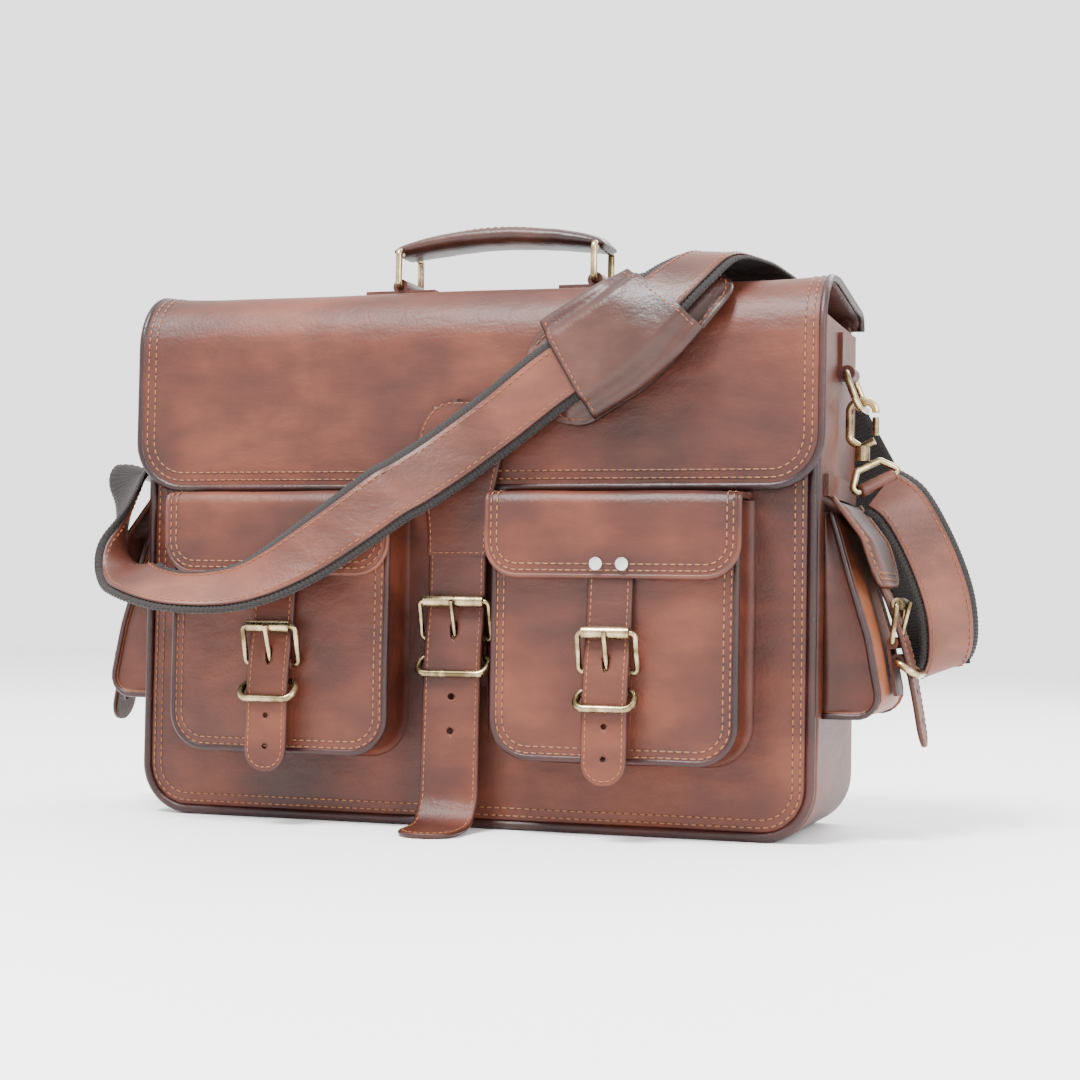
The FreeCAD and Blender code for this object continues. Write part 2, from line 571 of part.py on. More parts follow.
def main():
    os.makedirs("parts", exist_ok=True)
    for old in os.listdir("parts"):
        os.remove(os.path.join("parts", old))
    for name, shape in collect().items():
        solids = shape.Solids
        good = shape.isValid() and all(s.Volume > 0 for s in solids)
        print(f"{name:28s} solids {len(solids)} volume {shape.Volume:10.1f} {'ok' if good else 'BAD'}")
        whole = solids[0] if len(solids) == 1 else Part.makeCompound(solids)
        whole.exportStep(os.path.join("parts", name + ".step"))


main()
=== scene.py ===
"""Looks of the leather satchel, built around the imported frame. Metres; the front faces -Y."""
import math

import bpy
import numpy as np
from mathutils import Matrix, Vector, noise


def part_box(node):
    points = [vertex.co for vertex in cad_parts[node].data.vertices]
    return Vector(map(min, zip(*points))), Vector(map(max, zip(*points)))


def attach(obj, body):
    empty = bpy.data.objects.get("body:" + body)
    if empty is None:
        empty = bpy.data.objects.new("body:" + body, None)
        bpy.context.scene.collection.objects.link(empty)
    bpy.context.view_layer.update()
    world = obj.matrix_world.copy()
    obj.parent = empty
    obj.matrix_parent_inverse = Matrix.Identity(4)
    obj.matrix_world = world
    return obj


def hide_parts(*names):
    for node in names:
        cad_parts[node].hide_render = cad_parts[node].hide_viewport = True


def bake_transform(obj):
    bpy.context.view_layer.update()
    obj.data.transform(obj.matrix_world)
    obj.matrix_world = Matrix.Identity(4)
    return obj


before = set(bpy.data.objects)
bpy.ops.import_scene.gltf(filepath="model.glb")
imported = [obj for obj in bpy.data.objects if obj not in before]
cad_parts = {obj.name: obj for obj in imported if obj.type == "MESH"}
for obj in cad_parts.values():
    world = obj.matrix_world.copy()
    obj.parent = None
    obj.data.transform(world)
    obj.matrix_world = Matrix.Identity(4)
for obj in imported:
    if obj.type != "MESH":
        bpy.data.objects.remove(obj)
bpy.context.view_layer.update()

MM = 0.001
STITCH_STEP = 4.4 * MM
STITCH_LENGTH = 3.1 * MM
STITCH_RADIUS = 0.42 * MM
SMALL_STITCH = (3.6 * MM, 2.5 * MM, 0.34 * MM)
SQUARE = 0.05 * MM
BODY_LEATHER = 3 * MM
LID_LEATHER = 2.6 * MM
POCKET_LEATHER = 2.4 * MM
SIDES = (("left", -1), ("right", 1))


# ---------------------------------------------------------------- materials
def new_material(name, roughness, metallic=0.0):
    material = bpy.data.materials.new(name)
    material.use_nodes = True
    nodes = material.node_tree.nodes
    shader = nodes["Principled BSDF"]
    shader.inputs["Roughness"].default_value = roughness
    shader.inputs["Metallic"].default_value = metallic
    return material, nodes, material.node_tree.links, shader


def noise_node(nodes, links, coords, scale, detail=4.0, stretch=(1, 1, 1)):
    """Object-space noise, stretched if asked; returns its value socket."""
    mapping = nodes.new("ShaderNodeMapping")
    mapping.inputs["Scale"].default_value = stretch
    texture = nodes.new("ShaderNodeTexNoise")
    texture.inputs["Scale"].default_value = scale
    texture.inputs["Detail"].default_value = detail
    links.new(coords.outputs["Object"], mapping.inputs["Vector"])
    links.new(mapping.outputs["Vector"], texture.inputs["Vector"])
    return texture.outputs["Fac"]


def ramp_node(nodes, links, source, stops):
    ramp = nodes.new("ShaderNodeValToRGB")
    elements = ramp.color_ramp.elements
    while len(elements) < len(stops):
        elements.new(0.5)
    for element, (position, colour) in zip(elements, stops):
        element.position = position
        element.color = (*colour, 1)
    links.new(source, ramp.inputs["Fac"])
    return ramp.outputs["Color"]


def mix_node(nodes, links, kind, factor, first, second):
    mix = nodes.new("ShaderNodeMix")
    mix.data_type = "RGBA"
    mix.blend_type = kind
    if isinstance(factor, float):
        mix.inputs["Factor"].default_value = factor
    else:
        links.new(factor, mix.inputs["Factor"])
    for socket, value in (("A", first), ("B", second)):
        target = [s for s in mix.inputs if s.name == socket and s.type == "RGBA"][0]
        if isinstance(value, tuple):
            target.default_value = (*value, 1)
        else:
            links.new(value, target)
    return [s for s in mix.outputs if s.type == "RGBA"][0]


def bump_chain(nodes, links, shader, layers):
    """Stacked bumps: (height socket, strength, distance)."""
    normal = None
    for height, strength, distance in layers:
        bump = nodes.new("ShaderNodeBump")
        bump.inputs["Strength"].default_value = strength
        bump.inputs["Distance"].default_value = distance
        links.new(height, bump.inputs["Height"])
        if normal is not None:
            links.new(normal, bump.inputs["Normal"])
        normal = bump.outputs["Normal"]
    links.new(normal, shader.inputs["Normal"])


def leather(name, dark, mid, light, roughness=0.46, creases=1.0):
    """Oiled leather: cloudy colour, fine pebble grain, long soft creases, darker burnished edges."""
    material, nodes, links, shader = new_material(name, roughness)
    coords = nodes.new("ShaderNodeTexCoord")
    clouds = noise_node(nodes, links, coords, 13.0, 7.0)
    streaks = noise_node(nodes, links, coords, 30.0, 8.0, (1.0, 1.0, 2.6))
    base = ramp_node(nodes, links, clouds, [(0.34, dark), (0.51, mid), (0.68, light)])
    marks = ramp_node(nodes, links, streaks, [(0.35, (0.70, 0.66, 0.64)), (0.62, (1.12, 1.1, 1.08))])
    colour = mix_node(nodes, links, "MULTIPLY", 0.75, base, marks)
    edge = nodes.new("ShaderNodeAttribute")
    edge.attribute_name = "edge"
    burnished = tuple(0.42 * c for c in dark)
    colour = mix_node(nodes, links, "MIX", edge.outputs["Fac"], colour, burnished)
    links.new(colour, shader.inputs["Base Color"])
    grain = nodes.new("ShaderNodeTexVoronoi")
    grain.inputs["Scale"].default_value = 620.0
    links.new(coords.outputs["Object"], grain.inputs["Vector"])
    wrinkle = nodes.new("ShaderNodeTexVoronoi")
    wrinkle.feature = "DISTANCE_TO_EDGE"
    wrinkle.inputs["Scale"].default_value = 55.0
    warp = nodes.new("ShaderNodeVectorMath")
    warp.operation = "MULTIPLY_ADD"
    warp.inputs[1].default_value = (0.05, 0.05, 0.05)
    soft = nodes.new("ShaderNodeTexNoise")
    soft.inputs["Scale"].default_value = 22.0
    links.new(coords.outputs["Object"], soft.inputs["Vector"])
    links.new(soft.outputs["Color"], warp.inputs[0])
    links.new(coords.outputs["Object"], warp.inputs[2])
    links.new(warp.outputs["Vector"], wrinkle.inputs["Vector"])
    valley = ramp_node(nodes, links, wrinkle.outputs["Distance"], [(0.0, (0, 0, 0)), (0.10, (1, 1, 1))])
    bump_chain(nodes, links, shader, [(streaks, 0.55 * creases, 0.0018), (valley, 0.10 * creases, 0.0005),
                                      (grain.outputs["Distance"], 0.22, 0.0004)])
    sheen = nodes.new("ShaderNodeMapRange")
    sheen.inputs["To Min"].default_value = roughness - 0.08
    sheen.inputs["To Max"].default_value = roughness + 0.16
    links.new(clouds, sheen.inputs["Value"])
    links.new(sheen.outputs["Result"], shader.inputs["Roughness"])
    shader.inputs["Specular IOR Level"].default_value = 0.36
    return material


def brass(name, dark, bright, roughness):
    """Cast metal with an aged film that is rubbed bright in patches."""
    material, nodes, links, shader = new_material(name, roughness, 1.0)
    coords = nodes.new("ShaderNodeTexCoord")
    patches = noise_node(nodes, links, coords, 90.0, 5.0)
    scratches = noise_node(nodes, links, coords, 420.0, 3.0, (1, 1, 0.15))
    links.new(ramp_node(nodes, links, patches, [(0.36, dark), (0.62, bright)]), shader.inputs["Base Color"])
    spread = nodes.new("ShaderNodeMapRange")
    spread.inputs["To Min"].default_value = roughness - 0.08
    spread.inputs["To Max"].default_value = roughness + 0.14
    links.new(scratches, spread.inputs["Value"])
    links.new(spread.outputs["Result"], shader.inputs["Roughness"])
    bump_chain(nodes, links, shader, [(scratches, 0.12, 0.0002)])
    return material


def thread(name, colour):
    """Twisted waxed thread."""
    material, nodes, links, shader = new_material(name, 0.75)
    coords = nodes.new("ShaderNodeTexCoord")
    twist = noise_node(nodes, links, coords, 900.0, 2.0)
    links.new(ramp_node(nodes, links, twist, [(0.3, tuple(0.62 * c for c in colour)), (0.7, colour)]),
              shader.inputs["Base Color"])
    bump_chain(nodes, links, shader, [(twist, 0.4, 0.0002)])
    return material


def woven(name, dark, light, scale, roughness=0.85):
    """Cloth woven at right angles, in object space."""
    material, nodes, links, shader = new_material(name, roughness)
    coords = nodes.new("ShaderNodeTexCoord")
    heights = []
    for direction in ("X", "Z"):
        wave = nodes.new("ShaderNodeTexWave")
        wave.bands_direction = direction
        wave.inputs["Scale"].default_value = scale
        wave.inputs["Distortion"].default_value = 0.6
        links.new(coords.outputs["Object"], wave.inputs["Vector"])
        heights.append(wave.outputs["Color"])
    cloth = mix_node(nodes, links, "MULTIPLY", 1.0, heights[0], heights[1])
    links.new(ramp_node(nodes, links, cloth, [(0.1, dark), (0.8, light)]), shader.inputs["Base Color"])
    bump_chain(nodes, links, shader, [(cloth, 0.5, 0.0004)])
    shader.inputs["Sheen Weight"].default_value = 0.05
    return material


def make_materials():
    """Every material by its short name; leathers run from dark to light patches."""
    return {
        "brown": leather("brown_leather", (0.031, 0.0062, 0.0032), (0.062, 0.0124, 0.0051),
                         (0.104, 0.0250, 0.0108)),
        "tan": leather("tan_leather", (0.115, 0.030, 0.010), (0.20, 0.058, 0.021), (0.27, 0.092, 0.038)),
        "dark": leather("dark_leather", (0.016, 0.0052, 0.0036), (0.040, 0.0125, 0.0085),
                        (0.085, 0.030, 0.020), 0.38),
        "piping": leather("piping_leather", (0.010, 0.0024, 0.0022), (0.022, 0.0050, 0.0042),
                          (0.042, 0.010, 0.008), 0.38),
        "strip": leather("strip_leather", (0.044, 0.0110, 0.0062), (0.085, 0.023, 0.0125),
                         (0.140, 0.043, 0.025), 0.42),
        "webbing": woven("webbing_cloth", (0.0025, 0.0013, 0.001), (0.015, 0.0075, 0.0055), 260.0),
        "lining": woven("lining_cloth", (0.08, 0.055, 0.035), (0.18, 0.13, 0.09), 300.0),
        "board": woven("board_cover", (0.025, 0.02, 0.015), (0.05, 0.04, 0.03), 200.0),
        "brass": brass("antique_brass", (0.11, 0.078, 0.038), (0.50, 0.39, 0.22), 0.24),
        "nickel": brass("polished_nickel", (0.50, 0.49, 0.47), (0.85, 0.84, 0.82), 0.22),
        "thread": thread("tan_thread", (0.27, 0.100, 0.034)),
        "thread_dark": thread("rust_thread", (0.22, 0.070, 0.022)),
    }


M = make_materials()


# ---------------------------------------------------------------- mesh helpers
def mesh_object(name, verts, faces, material, smooth=True):
    mesh = bpy.data.meshes.new(name)
    mesh.from_pydata([tuple(v) for v in verts], [], faces)
    mesh.validate()
    mesh.materials.append(material)
    mesh.polygons.foreach_set("use_smooth", [smooth] * len(mesh.polygons))
    obj = bpy.data.objects.new(name, mesh)
    bpy.context.scene.collection.objects.link(obj)
    return obj


def slab_faces(rows, width, flip=-1.0):
    """Faces of a closed slab: two grids of points, outer first, and the walls between their borders."""
    count = rows * width
    faces = []
    for i in range(rows - 1):
        for j in range(width - 1):
            a = i * width + j
            faces.append((a, a + width, a + width + 1, a + 1))
            faces.append(tuple(count + k for k in (a + 1, a + width + 1, a + width, a)))
    border = list(range(width)) + [i * width + width - 1 for i in range(1, rows)]
    border += [(rows - 1) * width + j for j in range(width - 2, -1, -1)]
    border += [i * width for i in range(rows - 2, 0, -1)]
    for a, b in zip(border, border[1:] + border[:1]):
        faces.append((a, b, count + b, count + a))
    return faces if flip > 0 else [tuple(reversed(face)) for face in faces]


def ring_faces(base, rows, sides):
    """Faces of a round bar made of rings of points, closed at both ends."""
    faces = []
    for i in range(rows - 1):
        for j in range(sides):
            a = base + i * sides + j
            b = base + i * sides + (j + 1) % sides
            faces.append((a, b, b + sides, a + sides))
    last = base + (rows - 1) * sides
    faces.append(tuple(base + j for j in reversed(range(sides))))
    faces.append(tuple(last + j for j in range(sides)))
    return faces


def eased(points, radii, step=1.5 * MM):
    """A polyline in the (y, z) plane with its corners rounded by tangent arcs."""
    points = [Vector(p) for p in points]
    path = [points[0]]
    for before, corner, after, radius in zip(points, points[1:], points[2:], radii):
        back = (before - corner).normalized()
        ahead = (after - corner).normalized()
        half = back.angle(ahead) / 2
        if radius <= 0:
            path.append(corner)
            continue
        centre = corner + (back + ahead).normalized() * radius / math.sin(half)
        first = corner + back * radius / math.tan(half)
        turn = math.pi - 2 * half
        sign = math.copysign(1.0, (corner - before).cross(after - corner))
        count = max(4, int(radius * turn / step))
        for i in range(count + 1):
            arm = first - centre
            angle = sign * turn * i / count
            path.append(centre + Vector((arm.x * math.cos(angle) - arm.y * math.sin(angle),
                                         arm.x * math.sin(angle) + arm.y * math.cos(angle))))
    path.append(points[-1])
    return path


class Route:
    """A polyline read by distance along it."""

    def __init__(self, points):
        self.points = np.array([tuple(p) for p in points])
        gaps = np.linalg.norm(np.diff(self.points, axis=0), axis=1)
        self.at = np.concatenate([[0.0], np.cumsum(gaps)])
        self.length = float(self.at[-1])

    def __call__(self, s):
        return np.array([np.interp(s, self.at, self.points[:, i]) for i in range(self.points.shape[1])])


def profile_at(profile, s, reach):
    """Point of a (y, z) profile at s, and the unit direction square to it."""
    s = min(max(s, 0.0), profile.length)
    along = profile(min(s + reach, profile.length)) - profile(max(s - reach, 0.0))
    return profile(s), np.array((along[1], -along[0])) / np.linalg.norm(along)


def densify(points, step):
    """The same polyline with points no further apart than step."""
    dense = []
    for a, b in zip(points, points[1:]):
        count = max(1, int((b - a).length / step))
        dense += [a.lerp(b, i / count) for i in range(count)]
    return dense + [points[-1]]


def trough(x0, x1, low, high, corner, step):
    """Down one side, along the bottom and up the other, in (x, z), with rounded corners."""
    path = [Vector((x0, high)), Vector((x0, low)), Vector((x1, low)), Vector((x1, high))]
    return densify(eased(path, [corner, corner], 3 * MM), step)


def ripple(point, amount, scale):
    """Gentle unevenness of a leather surface."""
    return amount * noise.noise(Vector(point) * scale)


class Panel:
    """A sheet of leather whose outline is a rectangle with rounded lower corners, laid on a surface.

    place(x, s) gives the point at x across and s down the surface.
    """

    def __init__(self, place, x0, x1, s0, s1, radius, thickness, flip=-1.0, top_radius=0.0):
        self.place = place
        self.x0, self.x1, self.s0, self.s1 = x0, x1, s0, s1
        self.radius = radius
        self.thickness = thickness
        self.flip = flip
        self.top_radius = top_radius

    def normal(self, x, s):
        d = 0.6 * MM
        across = self.place(x + d, s) - self.place(x - d, s)
        down = self.place(x, s + d) - self.place(x, s - d)
        n = np.cross(across, down) * self.flip
        return n / np.linalg.norm(n)

    def half_width(self, s):
        """Half the sheet's width at s, narrowing in the rounded corners."""
        half = (self.x1 - self.x0) / 2
        for deep, radius in ((s - (self.s1 - self.radius), self.radius),
                             (self.s0 + self.top_radius - s, self.top_radius)):
            if deep > 0 and radius > 0:
                return half - radius + math.sqrt(max(0.0, radius ** 2 - deep ** 2))
        return half

    def rows(self, step):
        top = self.s0 + self.top_radius
        straight = self.s1 - self.radius - top
        count = max(2, int(straight / step))
        rows = []
        if self.top_radius:
            corner = max(5, int(1.6 * self.top_radius / step))
            rows = [top - self.top_radius * math.cos(math.pi / 2 * i / corner) for i in range(corner)]
        rows += [top + straight * i / count for i in range(count)]
        corner = max(5, int(1.6 * self.radius / step))
        for i in range(corner + 1):
            rows.append(self.s1 - self.radius + self.radius * math.sin(math.pi / 2 * i / corner))
        return rows

    def build(self, name, material, step=4.0 * MM, edge_band=1.6 * MM):
        """Closed slab with a darker burnished rim."""
        middle = (self.x0 + self.x1) / 2
        columns = max(4, int((self.x1 - self.x0) / step))
        lines = [-1 + 2 * i / columns for i in range(columns + 1)]
        lines = [-1.0, -1 + 2 * edge_band / (self.x1 - self.x0)] + lines[1:-1]
        lines += [1 - 2 * edge_band / (self.x1 - self.x0), 1.0]
        rows = self.rows(step)
        front, back, worn = [], [], []
        for s in rows:
            half = self.half_width(s)
            for t in lines:
                x = middle + t * half
                point = self.place(x, s)
                normal = self.normal(x, s)
                rim = abs(t) == 1.0 or s in (rows[0], rows[-1])
                round_off = 0.35 * self.thickness if rim else 0.0
                front.append(point - normal * round_off)
                back.append(point - normal * (self.thickness - round_off))
                worn.append(0.85 if rim else 0.0)
        obj = mesh_object(name, front + back, slab_faces(len(rows), len(lines), self.flip), material)
        attribute = obj.data.attributes.new("edge", "FLOAT", "POINT")
        attribute.data.foreach_set("value", worn + [0.5] * len(back))
        return obj

    def trace(self, spots, lift=0.0):
        """Points and normals of the surface at (x, s) spots."""
        normals = [self.normal(x, s) for x, s in spots]
        return [self.place(x, s) + normal * lift for (x, s), normal in zip(spots, normals)], normals

    def edge_path(self, inset, top=False, lift=0.0):
        """Points and normals along the sides and bottom, and the top if asked, inset from the edge."""
        x0, x1 = self.x0 + inset, self.x1 - inset
        s0, s1 = self.s0 + (inset if top else 0.0), self.s1 - inset
        low = max(0.1 * MM, self.radius - inset)
        high = max(0.1 * MM, self.top_radius - inset) if top else 0.0
        spots = line_spots((x0, s0 + high), (x0, s1 - low))
        spots += self.arc(x0 + low, s1 - low, low, math.pi, -1)
        spots += line_spots((x0 + low, s1), (x1 - low, s1))
        spots += self.arc(x1 - low, s1 - low, low, math.pi / 2, -1)
        spots += line_spots((x1, s1 - low), (x1, s0 + high))
        if top:
            spots += self.arc(x1 - high, s0 + high, high, 0.0, -1)
            spots += line_spots((x1 - high, s0), (x0 + high, s0))
            spots += self.arc(x0 + high, s0 + high, high, -math.pi / 2, -1)
        return self.trace(spots, lift)

    @staticmethod
    def arc(cx, cs, radius, start, sign):
        """A quarter turn in the sheet's own plane."""
        angles = [start + sign * math.pi / 2 * i / 8 for i in range(1, 8)]
        return [(cx + radius * math.cos(a), cs + radius * math.sin(a)) for a in angles]


def line_spots(start, end, step=2.5 * MM):
    """Evenly spaced spots from start to end, both included."""
    count = max(2, int(math.dist(start, end) / step))
    return [(start[0] + (end[0] - start[0]) * i / count, start[1] + (end[1] - start[1]) * i / count)
            for i in range(count + 1)]


def stitches(name, runs, material, step=STITCH_STEP, length=STITCH_LENGTH, radius=STITCH_RADIUS):
    """Rows of small rounded stitches that lie on a surface; runs are (points, normals)."""
    verts, faces = [], []
    sides = 6
    profile = ((-0.5, 0.0), (-0.36, 0.8), (0.0, 1.0), (0.36, 0.8), (0.5, 0.0))
    for points, normals in runs:
        route = Route(points)
        normal_at = Route(points)
        normal_at.points = np.array(normals)
        for k in range(int(route.length / step)):
            middle = (k + 0.5) * step
            if middle + length / 2 > route.length:
                break
            ahead = route(middle + length / 2) - route(middle - length / 2)
            ahead /= max(1e-9, np.linalg.norm(ahead))
            up = normal_at(middle)
            side = np.cross(ahead, up)
            side /= max(1e-9, np.linalg.norm(side))
            centre = route(middle)
            faces += ring_faces(len(verts), len(profile), sides)
            for along, swell in profile:
                for j in range(sides):
                    angle = 2 * math.pi * j / sides
                    spread = radius * max(swell, 0.25)
                    verts.append(centre + ahead * along * length + side * spread * math.cos(angle)
                                 + up * (spread * 0.8 * math.sin(angle) + 0.15 * MM * swell))
    return mesh_object(name, verts, faces, material)


def tube(name, points, radius, material, sides=10, flatten=1.0, normals=None):
    """A round or flattened cord along points, closed at both ends."""
    pts = [np.array(p) for p in points]
    verts = []
    up = np.array(normals[0]) if normals else np.array((0.0, 0.0, 1.0))
    for i, p in enumerate(pts):
        ahead = pts[min(i + 1, len(pts) - 1)] - pts[max(i - 1, 0)]
        ahead = ahead / np.linalg.norm(ahead)
        if normals:
            up = np.array(normals[i])
        up = up - ahead * np.dot(up, ahead)
        if np.linalg.norm(up) < 1e-6:
            up = np.cross(ahead, (0.3, 0.9, 0.1))
        up = up / np.linalg.norm(up)
        side = np.cross(ahead, up)
        for j in range(sides):
            angle = 2 * math.pi * j / sides
            verts.append(p + side * radius * math.cos(angle) + up * radius * flatten * math.sin(angle))
    return mesh_object(name, verts, ring_faces(0, len(pts), sides), material)


def finish_piece(obj, body, slot, *nodes):
    """Ride and the CAD nodes that the piece stands for; the slot argument is not used."""
    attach(obj, body)
    if nodes:
        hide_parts(*nodes)
    return obj


def seam(name, runs, body, slot):
    """Stitches, with a near-black cord sunk under them as painted shade of the crease that they pull into
    the leather.
    """
    finish_piece(stitches(name + "_stitching", runs, M["thread"]), body, slot)
    for i, (points, normals) in enumerate(runs):
        sunk = [p - n * 0.22 * MM for p, n in zip(points, normals)]
        # Painted shade: a thin near-black cord under each row of stitches stands in for the shadow in the
        # crease.
        painted_shade_cord = tube(name + "_crease_%d" % i, sunk, 0.5 * MM, M["piping"], 6, 0.6, normals)
        finish_piece(painted_shade_cord, body, slot)


def dress(panel, name, material, body, slot, node, seams, step=4.0 * MM):
    """Panel mesh with rows of stitching at the given insets."""
    finish_piece(panel.build(name, material, step), body, slot, node)
    seam(name, [panel.edge_path(inset, lift=0.1 * MM) for inset in seams], body, slot)


def edge_cord(panel, name, inset, sunk, radius, material, body, slot, sides=8, flatten=1.0):
    """Piping or a turned edge round a panel's sides and bottom."""
    points, normals = panel.edge_path(inset, lift=-sunk)
    finish_piece(tube(name, points, radius, M[material], sides, flatten, normals), body, slot)


# ---------------------------------------------------------------- body shell
def wall_place(y, bulge, sign):
    """Front or back wall, a little fuller in the middle."""
    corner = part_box("gusset")[1]
    half = corner.x
    top = corner.z

    def place(x, s):
        z = top - s
        full = (1 - min(1.0, abs(x) / half) ** 2.5) * max(0.0, math.sin(math.pi * min(1.0, z / top)))
        shift = bulge * full + ripple((x, 0, z), 0.8 * MM, 14)
        return np.array((x, y + sign * shift, z))
    return place


def body_shell():
    """Front and back walls, their piping, and the gusset between them."""
    for name, sign in (("front_panel", -1.0), ("back_panel", 1.0)):
        box_low, box_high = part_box(name)
        face = box_low.y if sign < 0 else box_high.y
        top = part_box("gusset")[1].z
        panel = Panel(wall_place(face, 1.5 * MM, sign), box_low.x, box_high.x, top - box_high.z,
                      top - box_low.z, 24 * MM, BODY_LEATHER, sign)
        dress(panel, name + "_skin", M["brown"], "root", "brown_leather", name,
              (3.0 * MM, 7.2 * MM), 7 * MM)
    piping_pieces()
    gusset_skin()


def piping_pieces():
    """Bead round the front and back walls, fat enough to read as a bound edge."""
    low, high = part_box("panel_piping")
    radius = 2.6 * MM
    corner = 27 * MM
    x = high.x - radius
    flat = trough(-x, x, low.z + radius, high.z, corner, 6 * MM)
    for name, y, nodes in (("piping_front", low.y + radius, ("panel_piping",)),
                           ("piping_back", high.y - radius, ())):
        bead = tube(name, [(p.x, y, p.y) for p in flat], radius, M["piping"])
        finish_piece(bead, "root", "dark_piping", *nodes)


def gusset_skin():
    """One strip: right side, bottom and left side, slightly swelled at the sides."""
    low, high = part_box("gusset")
    corner = 29 * MM
    route = Route(trough(low.x, high.x, low.z, high.z, corner, 4 * MM))

    def place(x, s):
        px, pz = route(min(max(s, 0.0), route.length))
        swell = (0.35 * MM + ripple((0, x, pz), 0.6 * MM, 18)) * min(1.0, pz / 0.05)
        px += math.copysign(swell, px)
        return np.array((px, x, pz))
    panel = Panel(place, low.y, high.y, 0.0, route.length, SQUARE, BODY_LEATHER, 1.0)
    finish_piece(panel.build("gusset_skin", M["brown"], 5 * MM), "root", "brown_leather", "gusset")


# ---------------------------------------------------------------- flap
def flap_profile():
    """Middle line of the flap from the hinge over the crest to the lower edge, in (y, z)."""
    points = [(0.0628, 0.2902), (0.0628, 0.3010), (-0.0220, 0.3085), (-0.0685, 0.3060), (-0.0685, 0.1900)]
    return eased(points, [0.0110, 0.0450, 0.0350])


FLAP = Route(flap_profile())
FLAP_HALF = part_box("main_flap")[1].x
FLAP_HINGE = FLAP.points[0]


def flap_surface(x, s):
    """Outer face of the flap at x across and s along it from the hinge."""
    (y, z), inward = profile_at(FLAP, s, 0.5 * MM)
    edge = max(0.0, abs(x) / FLAP_HALF - 0.80) / 0.20
    wave = ripple((x, y, z), 0.9 * MM, 9) - 1.8 * MM * edge ** 2
    half = BODY_LEATHER / 2 + wave
    return np.array((x, y - inward[0] * half, z - inward[1] * half))


def flap():
    """The flap's leather, its two rows of stitches and its bound edge."""
    panel = Panel(flap_surface, -FLAP_HALF, FLAP_HALF, 0.0, FLAP.length, 28 * MM, BODY_LEATHER)
    dress(panel, "main_flap_leather", M["brown"], "flap", "brown_leather", "main_flap",
          (5.2 * MM, 9.6 * MM), 5 * MM)
    edge_cord(panel, "main_flap_binding", 0.6 * MM, 1.3 * MM, 2.3 * MM, "piping", "flap", "dark_piping",
              10, 0.9)


def flap_join():
    """Strip sewn to the back panel and the flap."""
    half = 197 * MM
    below, above = 17 * MM, 12 * MM
    thick = 1.4 * MM

    def place(x, s):
        along = max(0.0, s - below)
        face = flap_surface(x, along)
        middle = FLAP(along)
        out = np.array((0.0, face[1] - middle[0], face[2] - middle[1]))
        point = face + out / np.linalg.norm(out) * 1.5 * MM
        if s < below:
            point[1] -= thick * (1 - s / below) ** 2
            point[2] = FLAP_HINGE[1] - below + s
        return point
    panel = Panel(place, -half, half, 0.0, below + above, SQUARE, thick)
    obj = panel.build("flap_join_leather", M["brown"], 2.5 * MM, 0.8 * MM)
    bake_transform(obj)
    runs = []
    for s in (3 * MM, 6.5 * MM):
        runs.append(panel.trace([(-half + 2 * half * i / 160, s) for i in range(161)]))
    seam("flap_join", runs, "root", "brown_leather")


# ---------------------------------------------------------------- front pockets
POCKET_CORNER = 21 * MM


def pocket_front(side):
    """Face of a front pocket, rolled back at its rim, with piping."""
    low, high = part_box(side + "_front_pocket")
    top = high.z
    middle = (low.x + high.x) / 2
    half = (high.x - low.x) / 2

    def place(x, s):
        z = top - s
        across = min(1.0, abs(x - middle) / half)
        down = min(1.0, abs(z - (low.z + top) / 2) / ((top - low.z) / 2))
        back = 2.4 * MM * (across ** 6 + down ** 6 * (1 if z < 0.1 else 0.3))
        return np.array((x, low.y + back + ripple((x, 0.3, z), 0.7 * MM, 17), z))
    panel = Panel(place, low.x, high.x, 0.0, top - low.z, POCKET_CORNER, POCKET_LEATHER)
    dress(panel, side + "_front_pocket_face", M["brown"], "root", "brown_leather", side + "_front_pocket",
          (3.4 * MM, 7.0 * MM), 5 * MM)
    edge_cord(panel, side + "_front_pocket_piping", 0.9 * MM, 1.0 * MM, 1.9 * MM, "piping", "root",
              "dark_piping")
    pocket_band(side, low, high)


def pocket_band(side, low, high):
    """Gusset of a pocket with its flange sewn to the bag's front wall."""
    band_low, band_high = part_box(side + "_front_pocket_gusset")
    route = Route(trough(low.x, high.x, low.z, high.z, POCKET_CORNER, 4 * MM))
    middle = (low.x + high.x) / 2
    deep = band_high.y - band_low.y
    flange = 5.0 * MM

    def place(x, s):
        px, pz = route(min(max(s, 0.0), route.length))
        t = (x - band_low.y) / deep
        pinch = -1.6 * MM * math.sin(math.pi * min(1.0, max(0.0, t)))
        spread = flange * max(0.0, (t - 0.86) / 0.14) ** 1.6
        corner_in = max(0.0, low.z + POCKET_CORNER - pz) / POCKET_CORNER
        level = math.sqrt(max(0.0, 1 - corner_in ** 2))
        direction = np.array((math.copysign(level, px - middle), -corner_in))
        if corner_in > 0.999:
            direction = np.array((0.0, -1.0))
        shift = pinch + spread + ripple((px, x, pz), 0.6 * MM, 40)
        return np.array((px + direction[0] * shift, x, pz + direction[1] * shift))
    panel = Panel(place, band_low.y, band_high.y - 0.2 * MM, 0.0, route.length, SQUARE, 2.2 * MM, 1.0)
    finish_piece(panel.build(side + "_front_pocket_band", M["brown"], 2.4 * MM), "root", "brown_leather",
                 side + "_front_pocket_gusset")


